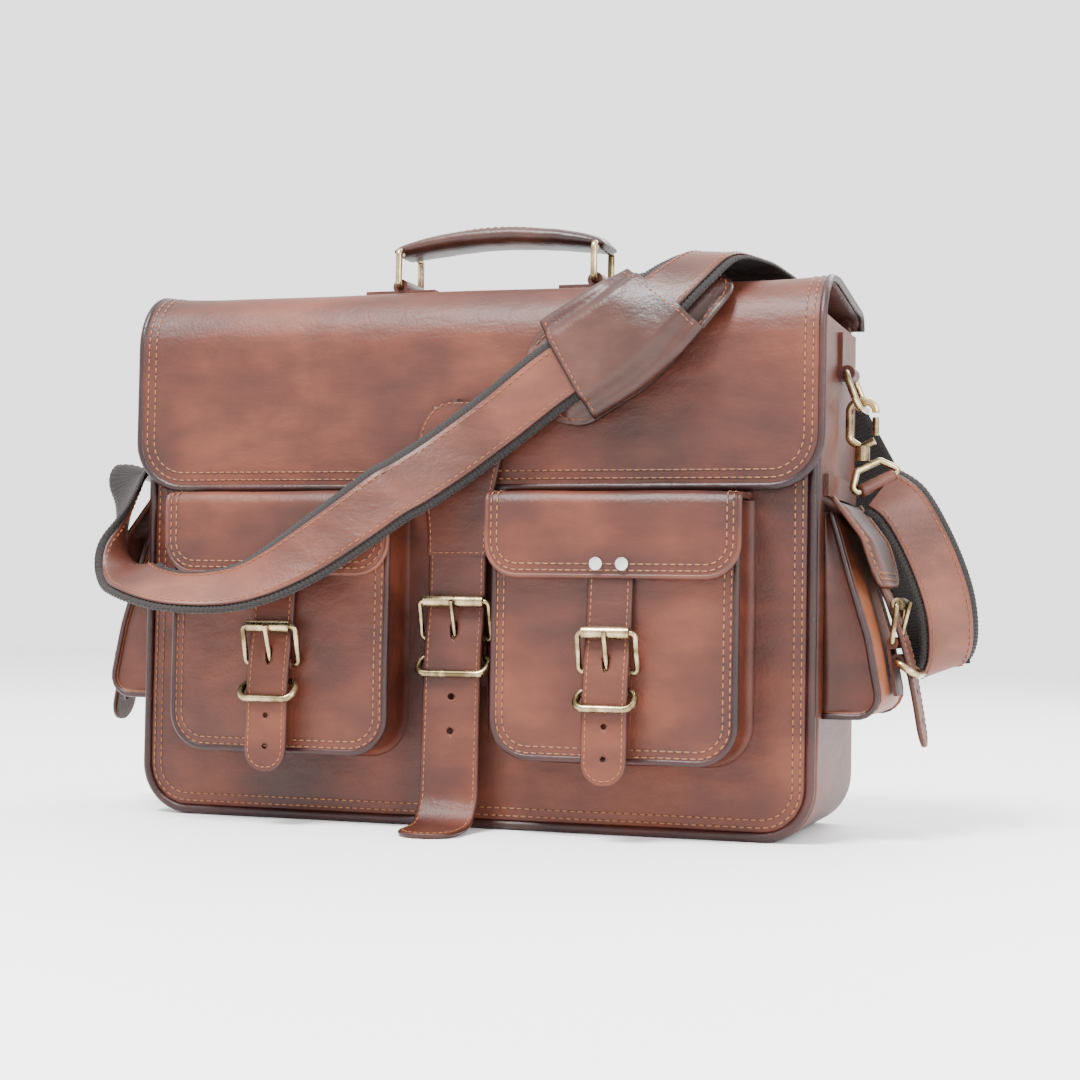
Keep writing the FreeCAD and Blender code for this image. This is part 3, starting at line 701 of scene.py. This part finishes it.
def front_lid(side):
    """Lid of a front pocket, folded down over its face."""
    low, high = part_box(side + "_front_lid")
    skin = LID_LEATHER / 2
    profile = Route(eased([(high.y, high.z - skin), (low.y + skin, high.z - skin), (low.y + skin, low.z)],
                          [5 * MM]))
    middle = (low.x + high.x) / 2
    half = (high.x - low.x) / 2

    def place(x, s):
        (y, z), out = profile_at(profile, s, 0.5 * MM)
        wave = ripple((x, 0.7, z), 0.8 * MM, 16) - 1.0 * MM * (abs(x - middle) / half) ** 6
        lift = skin + wave
        return np.array((x, y + out[0] * lift, z + out[1] * lift))
    finish_lid(Panel(place, low.x, high.x, 0.0, profile.length, 18 * MM, LID_LEATHER), side + "_front_lid")


def finish_lid(panel, name):
    """Leather, stitches and turned edge of a pocket's lid, whose body has the same name."""
    dress(panel, name + "_leather", M["brown"], name, "brown_leather", name, (3.2 * MM, 6.6 * MM))
    edge_cord(panel, name + "_edge", 0.3 * MM, 1.1 * MM, 1.45 * MM, "strip", name, "brown_leather")


# ---------------------------------------------------------------- side pockets
def turned(place, sign):
    """A surface drawn facing -Y, turned to face the side given by sign."""
    def moved(x, s):
        p = place(x, s)
        return np.array((-sign * p[1], sign * p[0], p[2]))
    return moved


def side_pocket(side, sign):
    """Face of a side pocket, which stands out from the gusset towards its foot."""
    profile = Route(eased([(-0.2060, 0.1780), (-0.2265, 0.1100), (-0.2345, 0.0680), (-0.2020, 0.0680)],
                          [60 * MM, 11 * MM]))
    half = 45 * MM

    def place(x, s):
        y, z = profile(min(max(s, 0.0), profile.length))
        across = min(1.0, abs(x) / half)
        return np.array((x, y + 2.5 * MM * across ** 5 + ripple((x, 2.0, z), 0.8 * MM, 20), z))
    panel = Panel(turned(place, sign), -half, half, 0.0, profile.length, 4 * MM, POCKET_LEATHER)
    dress(panel, side + "_side_pocket_face", M["tan"], "root", "tan_leather", side + "_side_pocket",
          (3.4 * MM,), 4.5 * MM)
    for edge in (-1, 1):
        x = edge * (half - 0.6 * MM)
        points, normals = panel.trace([(x, profile.length * i / 40) for i in range(41)])
        name = side + ("_side_pocket_piping_back" if edge > 0 else "_side_pocket_piping_front")
        finish_piece(tube(name, points, 1.8 * MM, M["piping"], 8, 1.0, normals), "root", "dark_piping")
    side_walls(side, sign, profile, half)


def side_walls(side, sign, profile, half):
    """Two triangular walls between the pocket's face and the bag, folded in a little."""
    root_y = -0.2005
    tall = profile.length * 0.86
    for edge in (-1.0, 1.0):
        def place(t, s, edge=edge):
            y, z = profile(s)
            fold = 3.0 * MM * math.sin(math.pi * t)
            return np.array((edge * (half - 1.0 * MM - fold), y + (root_y - y) * t, z))
        name = side + ("_side_pocket_wall_back" if edge > 0 else "_side_pocket_wall_front")
        nodes = (side + "_side_pocket_gusset",) if edge > 0 else ()
        finish_piece(wall_mesh(turned(place, sign), tall, name), "root", "brown_leather", *nodes)


def wall_mesh(place, tall, name):
    """Wall of a side pocket, from its face (t = 0) to the bag (t = 1)."""
    rows, steps = 24, 8
    thick = 2.0 * MM
    inward = np.array((0.0, -thick if place(0.5, 0.01)[1] > 0 else thick, 0.0))
    verts = [place(j / steps, tall * i / rows) + shift for shift in (np.zeros(3), inward)
             for i in range(rows + 1) for j in range(steps + 1)]
    return mesh_object(name, verts, slab_faces(rows + 1, steps + 1), M["brown"])


def side_lid(side, sign):
    """Lid of a side pocket, folded down from the gusset."""
    profile = Route(eased([(-0.2046, 0.1846), (-0.2210, 0.1630), (-0.2290, 0.1390)], [10 * MM]))
    half = 47 * MM

    def place(x, s):
        y, z = profile(min(max(s, 0.0), profile.length))
        lift = 1.3 * MM + ripple((x, 3.0, z), 0.7 * MM, 22)
        return np.array((x, y - lift * 0.93, z + lift * 0.36 + 1.5 * MM * (abs(x) / half) ** 4))
    panel = Panel(turned(place, sign), -half, half, 0.0, profile.length, 18 * MM, LID_LEATHER)
    finish_lid(panel, side + "_side_lid")


# ---------------------------------------------------------------- buckle straps
PRONG_SLOT = (2.1 * MM, 5.0 * MM)
ROUND_HOLE = (1.6 * MM, 1.6 * MM)
BUCKLE_RADII = [60 * MM, 3 * MM, 14 * MM, 30 * MM, 30 * MM]
CENTRE_FACE = -66.6 * MM


def buckle_path(roller_z, tip_z):
    """Outward distance and height of a strap's middle from the roller to its tip."""
    z = roller_z
    return [(-0.0049, z + 0.001), (-0.0089, z - 0.020), (-0.0104, z - 0.033), (-0.0110, z - 0.056),
            (-0.0115, tip_z)]


def punch(strap, spots, outward):
    """Round and oval holes cut through a strap."""
    for point, size in spots:
        bpy.ops.mesh.primitive_cylinder_add(vertices=20, radius=1.0, depth=30 * MM, location=(0, 0, 0))
        cutter = bpy.context.object
        turn = Vector((0, 0, 1)).rotation_difference(Vector(outward)).to_matrix().to_4x4()
        cutter.data.transform(Matrix.Diagonal((size[0], size[1], 1, 1)))
        cutter.data.transform(turn)
        cutter.data.transform(Matrix.Translation(point))
        modifier = strap.modifiers.new("hole", "BOOLEAN")
        modifier.object = cutter
        modifier.operation = "DIFFERENCE"
        modifier.solver = "EXACT"
        bpy.context.view_layer.objects.active = strap
        bpy.ops.object.modifier_apply(modifier=modifier.name)
        bpy.data.objects.remove(cutter, do_unlink=True)


def strap_piece(name, path, radii, width, transform, outward, body, node, holes):
    """A buckle strap along (y, z) points in its own frame, carried to the bag by transform."""
    profile = Route(eased(path, radii))

    def place(x, s):
        (y, z), out = profile_at(profile, s, 0.4 * MM)
        lift = 1.2 * MM + ripple((x, 5.0, z), 0.25 * MM, 60)
        return np.array(transform @ Vector((x, y + out[0] * lift, z + out[1] * lift)))
    panel = Panel(place, -width / 2, width / 2, 0.0, profile.length, width / 2 * 0.96, 2.4 * MM)
    strap = panel.build(name, M["brown"], 2.6 * MM, 0.9 * MM)
    spots = []
    for height, size in holes:
        s = min(np.linspace(0, profile.length, 400), key=lambda v: abs(profile(v)[1] - height))
        spots.append((Vector(panel.place(0.0, s)), size))
    punch(strap, spots, outward)
    finish_piece(strap, body, "brown_leather", node)
    runs = [panel.edge_path(2.4 * MM, lift=0.05 * MM)]
    finish_piece(stitches(name + "_stitching", runs, M["thread"], *SMALL_STITCH), body, "brown_leather")


def front_straps():
    """Buckle straps of the front pockets."""
    for side in ("left", "right"):
        low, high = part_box(side + "_front_pocket")
        move = Matrix.Translation(((low.x + high.x) / 2, low.y, 0))
        path = [(-0.0019, 0.1620), (-0.0019, 0.1405)] + buckle_path(0.111, 0.0304)
        holes = [(0.0945, PRONG_SLOT), (0.0614, ROUND_HOLE), (0.0444, ROUND_HOLE)]
        strap_piece(side + "_front_tongue", path, BUCKLE_RADII, 25 * MM, move, (0, -1, 0),
                    side + "_front_lid", side + "_front_strap", holes)


def side_straps():
    """Buckle straps of the side pockets, which lean with the pockets' faces."""
    for side, sign in SIDES:
        lean = Matrix.Translation((0, 0, 0.092)) @ Matrix.Rotation(math.radians(-9), 4, "X")
        lean = lean @ Matrix.Translation((0, 0, -0.092))
        move = Matrix.Translation((sign * 0.2316, 0, 0)) @ Matrix.Rotation(sign * math.pi / 2, 4, "Z") @ lean
        path = [(0.0019, 0.1632), (-0.0020, 0.1388)] + buckle_path(0.128, 0.048)
        holes = [(0.1115, PRONG_SLOT), (0.079, ROUND_HOLE), (0.062, ROUND_HOLE)]
        strap_piece(side + "_side_tongue", path, BUCKLE_RADII, 25 * MM, move, (sign, 0, 0),
                    side + "_side_lid", side + "_side_strap", holes)


def centre_strap():
    """Long strap of the flap; its end lies curled on the floor."""
    move = Matrix.Translation((0, CENTRE_FACE, 0))
    path = [(-0.0049, 0.2360), (-0.0049, 0.1275), (-0.0089, 0.1065), (-0.0104, 0.0920), (-0.0120, 0.0500),
            (-0.0130, 0.0180), (-0.0210, 0.0034), (-0.0580, 0.0016)]
    holes = [(0.110, (2.3 * MM, 5.2 * MM)), (0.074, (1.9 * MM, 1.9 * MM)), (0.055, (1.9 * MM, 1.9 * MM))]
    strap_piece("centre_tongue", path, [3 * MM, 14 * MM, 30 * MM, 60 * MM, 14 * MM, 16 * MM], 34 * MM, move,
                (0, -1, 0), "flap", "centre_strap", holes)
    centre_patch()


def centre_patch():
    """Shield-shaped patch that anchors the centre strap on the flap."""
    top, shoulder, low, wide = 0.2390, 0.212, 0.1520, 0.0254
    thick = 1.9 * MM
    face = CENTRE_FACE - 4.9 * MM - thick

    def half(z):
        if z > shoulder:
            t = (z - shoulder) / (top - shoulder)
            return wide * math.sqrt(max(0.0, 1 - t ** 2.2)) + 0.3 * MM
        t = (shoulder - z) / (shoulder - low)
        return wide - 7.8 * MM * math.sin(min(1.0, t * 1.12) * math.pi / 2) ** 1.4

    def place(x, s):
        z = top - s
        return np.array((x * half(z) / wide, face + ripple((x, 4.0, z), 0.3 * MM, 40), z))
    panel = Panel(place, -wide, wide, 0.0, top - low, 0.3 * MM, thick)
    finish_piece(panel.build("centre_patch", M["brown"], 2.2 * MM, 0.9 * MM), "flap", "brown_leather")
    inner = Panel(lambda x, s: place(x * 0.9, s * 0.965 + 1.6 * MM), -wide, wide, 0.0, top - low, 0.3 * MM,
                  thick)
    runs = [inner.edge_path(0.2 * MM, True, 0.05 * MM)]
    finish_piece(stitches("centre_patch_stitching", runs, M["thread"], *SMALL_STITCH), "flap",
                 "brown_leather")


# ---------------------------------------------------------------- handle
def handle_grip():
    """Padded grip: a crowned arch between the two rings, seams along its edges."""
    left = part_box("handle_ring_left")
    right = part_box("handle_ring_right")
    x0 = (left[0].x + left[1].x) / 2
    x1 = (right[0].x + right[1].x) / 2
    ring_z = left[1].z - 2 * MM
    rise = 7.5 * MM
    rows, ring = 61, 28
    verts = []
    for i in range(rows):
        t = i / (rows - 1)
        x = x0 - 4.5 * MM + (x1 - x0 + 9 * MM) * t
        u = 2 * t - 1
        z = ring_z + rise * (1 - u * u) + 0.4 * MM
        swell = (1 - abs(u) ** 7)
        half_y = 14.6 * MM + 2.6 * MM * swell * (1 - 0.25 * u * u)
        half_z = 3.4 * MM + 2.3 * MM * swell * (1 - u * u * 0.5)
        taper = min(1.0, (1 - abs(u)) * 16 + 0.45)
        for j in range(ring):
            angle = 2 * math.pi * j / ring
            c, s = math.cos(angle), math.sin(angle)
            y = half_y * math.copysign(abs(c) ** 0.72, c)
            lift = half_z * math.copysign(abs(s) ** 0.85, s) * taper
            verts.append((x, y, z + lift + ripple((x * 2, y, 1), 0.3 * MM, 50)))
    faces = [tuple(reversed(face)) for face in ring_faces(0, rows, ring)]
    grip = mesh_object("handle_grip_pad", verts, faces, M["dark"])
    finish_piece(grip, "handle_grip", "dark_leather", "handle_grip")
    runs = []
    for side in (-1, 1):
        points, normals = [], []
        for i in range(50):
            u = -0.86 + 1.72 * i / 49
            x = (x0 + x1) / 2 + u * (x1 - x0) / 2
            z = ring_z + rise * (1 - u * u) + 0.4 * MM + 4.6 * MM * (1 - u * u * 0.55)
            points.append(np.array((x, side * 12.2 * MM, z)))
            normals.append(np.array((0.0, side * 0.35, 0.94)))
        runs.append((points, normals))
    finish_piece(stitches("handle_grip_stitching", runs, M["thread_dark"]), "handle_grip", "dark_leather")


# ---------------------------------------------------------------- shoulder strap
LEFT_LOOP = [
    ((-224.1, -4.0, 197.9), (-0.72, 0.55, 0.42)), ((-228, -15, 201), (-0.70, 0.66, 0.26)),
    ((-225, -32, 198), (-0.68, 0.72, 0.14)), ((-219, -50, 182), (-0.60, 0.79, 0.10)),
    ((-211, -70, 160), (-0.42, 0.90, 0.08)), ((-199, -88, 146), (-0.25, 0.92, 0.28)),
    ((-179, -111, 136.5), (-0.15, 0.87, 0.46)), ((-148, -122.5, 130.5), (-0.12, 0.82, 0.56)),
    ((-118, -121, 132), (-0.15, 0.70, 0.70)), ((-93, -121, 140), (-0.35, 0.48, 0.80)),
    ((-70, -118, 153), (-0.50, 0.25, 0.83)), ((-46, -113, 170), (-0.60, 0.10, 0.79)),
    ((-28, -106, 184.5), (-0.63, 0.02, 0.77))]
FRONT_RUN = [
    ((-20, -98.5, 190.5), (-0.63, 0.02, 0.77)), ((0, -85, 207), (-0.63, 0.0, 0.77)),
    ((27, -79.0, 228), (-0.62, 0.0, 0.78)), ((58, -82.4, 250), (-0.60, 0.0, 0.80)),
    ((88, -83.0, 268), (-0.57, 0.02, 0.82)), ((112, -81.6, 289.3), (-0.70, 0.27, 0.66)),
    ((128.4, -70.3, 307.1), (-0.83, 0.40, 0.39)), ((138.3, -51.9, 318.8), (-0.90, 0.40, 0.15)),
    ((146, -20, 320), (-0.97, 0.20, 0.03)), ((151, 10, 317.5), (-0.98, 0.15, -0.03)),
    ((155, 36, 314), (-0.99, 0.10, -0.04)), ((157, 54, 308.5), (-0.99, 0.06, 0.04))]
RIGHT_RUN = [
    ((158.5, 63, 302), (-0.98, 0.04, 0.14)), ((163, 71.5, 289), (-0.97, 0.0, 0.22)),
    ((173, 75, 266), (-0.96, 0.0, 0.28)), ((188, 76.5, 236), (-0.94, 0.0, 0.30)),
    ((205, 77, 204), (-0.95, -0.05, 0.25)), ((222, 74, 172), (-0.95, -0.15, 0.15)),
    ((237, 66, 140), (-0.93, -0.28, -0.02)), ((248, 54, 112), (-0.88, -0.38, -0.20)),
    ((252, 41, 93), (-0.84, -0.44, -0.32)), ((259, 30, 102), (-0.80, -0.48, -0.36)),
    ((260, 21, 122), (-0.77, -0.50, -0.39)), ((256, 13, 142), (-0.74, -0.52, -0.41)),
    ((247, 6, 165), (-0.72, -0.54, -0.42)), ((236, 1, 184), (-0.72, -0.55, -0.42)),
    ((224.4, -0.3, 192.7), (-0.72, -0.55, -0.42))]
PAD = [((46, -75.6, 240), (-0.60, 0.0, 0.80)), ((66, -75.6, 253), (-0.57, 0.0, 0.82)),
       ((90, -75.6, 268), (-0.56, 0.02, 0.83)), ((110, -72.4, 285.8), (-0.68, 0.27, 0.68)),
       ((124, -64.2, 301), (-0.82, 0.40, 0.40)), ((133, -49.0, 311), (-0.88, 0.44, 0.17))]
SLEEVE = [((64, -87.2, 253.6), (-0.58, 0.0, 0.81)), ((88, -87.8, 268), (-0.57, 0.02, 0.82)),
          ((104, -88.2, 281), (-0.64, 0.15, 0.75)), ((117, -83.6, 295), (-0.74, 0.33, 0.58))]
JOIN = 4  # station of the front run where the two drawn halves meet, under the sleeve
RING_ACROSS = Vector((0.72, 0.55, 0.42))
RING_BAR = Vector((0.22196, 0.00022, 0.19619))
TURN_RADIUS = 3.7 * MM
TURN_HALF = 11.5 * MM
WEB_HALF = 18.5 * MM
STRIP_HALF = 14.5 * MM
RIB_PITCH = 2.3 * MM
RIB_STEP = 0.58 * MM
RIB_DEPTH = 0.3 * MM


class Band:
    """Smooth flat run through stations of centre and direction across it."""

    def __init__(self, stations, per_gap=10):
        points = self.smooth([Vector(c) * MM for c, a in stations], per_gap)
        sides = self.smooth([Vector(a) for c, a in stations], per_gap)
        self.centre = Route(points)
        self.length = self.centre.length
        self.side = Route(points)
        self.side.points = np.array([tuple(v.normalized()) for v in sides])

    @staticmethod
    def smooth(values, per_gap):
        """Catmull-Rom through the values."""
        result = []
        count = len(values)
        for i in range(count - 1):
            a = values[max(i - 1, 0)]
            b, c = values[i], values[i + 1]
            d = values[min(i + 2, count - 1)]
            for k in range(per_gap):
                t = k / per_gap
                result.append(0.5 * (2 * b + (c - a) * t + (2 * a - 5 * b + 4 * c - d) * t ** 2
                                     + (3 * b - a - 3 * c + d) * t ** 3))
        return result + [values[-1]]

    def place(self, lift):
        """Surface at x across and s along, lifted from the middle towards the outer face."""
        def at(x, s):
            s = min(max(s, 0.0), self.length)
            d = 1.0 * MM
            along = self.centre(min(s + d, self.length)) - self.centre(max(s - d, 0.0))
            along /= np.linalg.norm(along)
            side = self.side(s)
            side = side - along * np.dot(side, along)
            side /= np.linalg.norm(side)
            out = np.cross(along, side)
            raise_by = lift(x, s) if callable(lift) else lift
            return self.centre(s) + side * x + out * raise_by
        return at


def webbing_band(name, band, node):
    """Ribbed webbing with a leather strip sewn along its outer face."""
    web = Panel(band.place(-0.1 * MM), -WEB_HALF, WEB_HALF, 0.0, band.length, SQUARE, 1.6 * MM)
    strip = Panel(band.place(1.75 * MM), -STRIP_HALF, STRIP_HALF, 0.0, band.length, SQUARE, 1.7 * MM)
    pieces = [ribbed(name + "_webbing", web, M["webbing"]),
              strip.build(name + "_leather_strip", M["strip"], 4.0 * MM, 0.8 * MM)]
    runs = []
    for x in (-STRIP_HALF + 2.6 * MM, STRIP_HALF - 2.6 * MM):
        runs.append(strip.trace([(x, band.length * i / 400) for i in range(401)]))
    pieces.append(stitches(name + "_stitching", runs, M["thread_dark"]))
    for i, piece in enumerate(pieces):
        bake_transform(piece)
    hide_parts(*node)


def ribbed(name, panel, material):
    """Closed band with fine ribs running across it."""
    across = 10
    along = int(panel.s1 / RIB_STEP)
    verts = []
    for side in (0.0, 1.0):
        for i in range(along + 1):
            s = panel.s1 * i / along
            normal = panel.normal(0.0, s)
            wave = RIB_DEPTH * math.cos(2 * math.pi * s / RIB_PITCH)
            for j in range(across + 1):
                x = panel.x0 + (panel.x1 - panel.x0) * j / across
                depth = -panel.thickness - wave if side else wave
                verts.append(panel.place(x, s) + normal * depth)
    return mesh_object(name, verts, slab_faces(along + 1, across + 1), material)


def strap_turns():
    """Leather turned round the wide bar of each strap ring."""
    for side, sign in SIDES:
        axis = Vector((sign * RING_ACROSS.x, RING_ACROSS.y, RING_ACROSS.z)).normalized()
        bar = Vector((sign * RING_BAR.x, RING_BAR.y, RING_BAR.z))
        points = [bar + axis * (TURN_HALF * (i / 6 - 1)) for i in range(13)]
        turn = tube(side + "_strap_turn", points, TURN_RADIUS, M["strip"], 20)
        finish_piece(turn, "root", "dark_leather")


def shoulder_strap():
    """The strap in two halves, with leather turned round its rings."""
    strap_turns()
    webbing_band("strap_left", Band(LEFT_LOOP + FRONT_RUN[:JOIN + 1]),
                 ("strap_left_loop",))
    webbing_band("strap_right", Band(FRONT_RUN[JOIN:] + RIGHT_RUN),
                 ("strap_front_run", "strap_right_run"))


def shoulder_pad():
    """Stuffed pad with a flat sewn rim, crowned in the middle."""
    band = Band(PAD)
    half = 30 * MM
    rim = 6.5 * MM

    def lift(x, s):
        inner = min(half - abs(x), s, band.length - s) - rim
        crown = min(1.0, max(0.0, inner / (9 * MM)))
        return -2.2 * MM + 4.6 * MM * (crown * (2 - crown)) ** 0.8
    panel = Panel(band.place(lift), -half, half, 0.0, band.length, 22 * MM, 2.6 * MM, top_radius=22 * MM)
    obj = panel.build("shoulder_pad_cover", M["dark"], 2.2 * MM, 1.0 * MM)
    finish_piece(obj, "flap", "dark_leather", "shoulder_pad")
    runs = [panel.edge_path(3.6 * MM, True, 0.05 * MM)]
    finish_piece(stitches("shoulder_pad_stitching", runs, M["thread_dark"]), "flap", "dark_leather")


def pad_sleeve():
    """Leather sleeve that holds the strap on the pad."""
    band = Band(SLEEVE)
    half = 32.5 * MM

    def lift(x, s):
        down = min(1.0, max(0.0, abs(x) - 17.5 * MM) / (8.0 * MM))
        over = max(0.0, abs(x) - 28.5 * MM) / (4.0 * MM)
        ends = max(0.0, 1 - min(s, band.length - s) / (3 * MM))
        return 1.2 * MM - 5.2 * MM * down * down * (3 - 2 * down) - 4.5 * MM * over ** 2 - 0.4 * MM * ends
    panel = Panel(band.place(lift), -half, half, 0.0, band.length, SQUARE, 2.2 * MM)
    finish_piece(panel.build("pad_sleeve_leather", M["dark"], 2.0 * MM, 0.8 * MM), "flap", "dark_leather",
                 "pad_sleeve")
    runs = []
    for s in (3.0 * MM, band.length - 3.0 * MM):
        runs.append(panel.trace([(-29 * MM + 58 * MM * i / 40, s) for i in range(41)]))
    finish_piece(stitches("pad_sleeve_stitching", runs, M["thread_dark"], 3.6 * MM, 2.4 * MM), "flap",
                 "dark_leather")


# ---------------------------------------------------------------- carried-over nodes
def finish_nodes():
    """Materials for every CAD node, shown or hidden."""
    chosen = {"rivets": "nickel", "lining": "lining", "base_board": "board"}
    metal = ("roller", "prong", "frame", "keeper", "ring", "hook")
    for name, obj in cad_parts.items():
        kind = "brown"
        if any(word in name for word in metal):
            kind = "brass"
        for word, value in chosen.items():
            if word in name:
                kind = value
        for slot in obj.material_slots:
            slot.material = M[kind]


# ---------------------------------------------------------------- stage
FLOOR_SIZE = 8.0
SKY_STRENGTH = 2.3
AIM = Vector((0, 0, 0.15))
LIGHTS = (("key", (-0.4, -1.2, 2.2), 0.7, 150), ("fill", (1.7, -1.1, 1.0), 0.8, 36),
          ("rim", (0.6, 1.4, 1.6), 1.2, 40))  # name, place, size in metres, watts
AZIMUTH, ELEVATION, ROLL = math.radians(17.98), math.radians(-2.09), math.radians(0.95)
DISTANCE, TARGET, LENS = 1.18185, Vector((0.02475, 0.0, 0.16374)), 66.99


def studio():
    """Pale floor, white surround and three soft lights."""
    bpy.ops.mesh.primitive_plane_add(size=FLOOR_SIZE, location=(0, 0, 0))
    floor = bpy.context.object
    floor.name = "floor"
    material, nodes, links, shader = new_material("pale_floor", 0.6)
    coords = nodes.new("ShaderNodeTexCoord")
    tone = noise_node(nodes, links, coords, 1.5, 2.0)
    links.new(ramp_node(nodes, links, tone, [(0.3, (0.90, 0.90, 0.90)), (0.7, (0.93, 0.93, 0.93))]),
              shader.inputs["Base Color"])
    floor.data.materials.append(material)
    world = bpy.data.worlds.new("studio")
    world.use_nodes = True
    world.node_tree.nodes["Background"].inputs["Color"].default_value = (1, 1, 1, 1)
    world.node_tree.nodes["Background"].inputs["Strength"].default_value = SKY_STRENGTH
    bpy.context.scene.world = world
    for name, spot, size, power in LIGHTS:
        light = bpy.data.lights.new(name, "AREA")
        light.size = size
        light.energy = power
        obj = bpy.data.objects.new(name, light)
        obj.location = spot
        obj.rotation_euler = (AIM - Vector(spot)).to_track_quat("-Z", "Y").to_euler()
        bpy.context.scene.collection.objects.link(obj)


def camera():
    """Camera on a sphere round TARGET, tipped by ROLL about its own axis."""
    forward = Vector((-math.sin(AZIMUTH) * math.cos(ELEVATION), math.cos(AZIMUTH) * math.cos(ELEVATION),
                      -math.sin(ELEVATION)))
    right = Vector((math.cos(AZIMUTH), math.sin(AZIMUTH), 0))
    up = right.cross(forward)
    across = right * math.cos(ROLL) + up * math.sin(ROLL)
    upright = up * math.cos(ROLL) - right * math.sin(ROLL)
    data = bpy.data.cameras.new("camera")
    data.sensor_width = 36.0
    data.lens = LENS
    obj = bpy.data.objects.new("camera", data)
    turn = Matrix((across, upright, -forward)).transposed().to_4x4()
    obj.matrix_world = Matrix.Translation(TARGET - forward * DISTANCE) @ turn
    bpy.context.scene.collection.objects.link(obj)
    bpy.context.scene.camera = obj


def build():
    """Everything in the scene."""
    camera()
    studio()
    finish_nodes()
    body_shell()
    flap()
    flap_join()
    for side, sign in SIDES:
        pocket_front(side)
        front_lid(side)
        side_pocket(side, sign)
        side_lid(side, sign)
    front_straps()
    side_straps()
    centre_strap()
    handle_grip()
    shoulder_strap()
    shoulder_pad()
    pad_sleeve()


build()
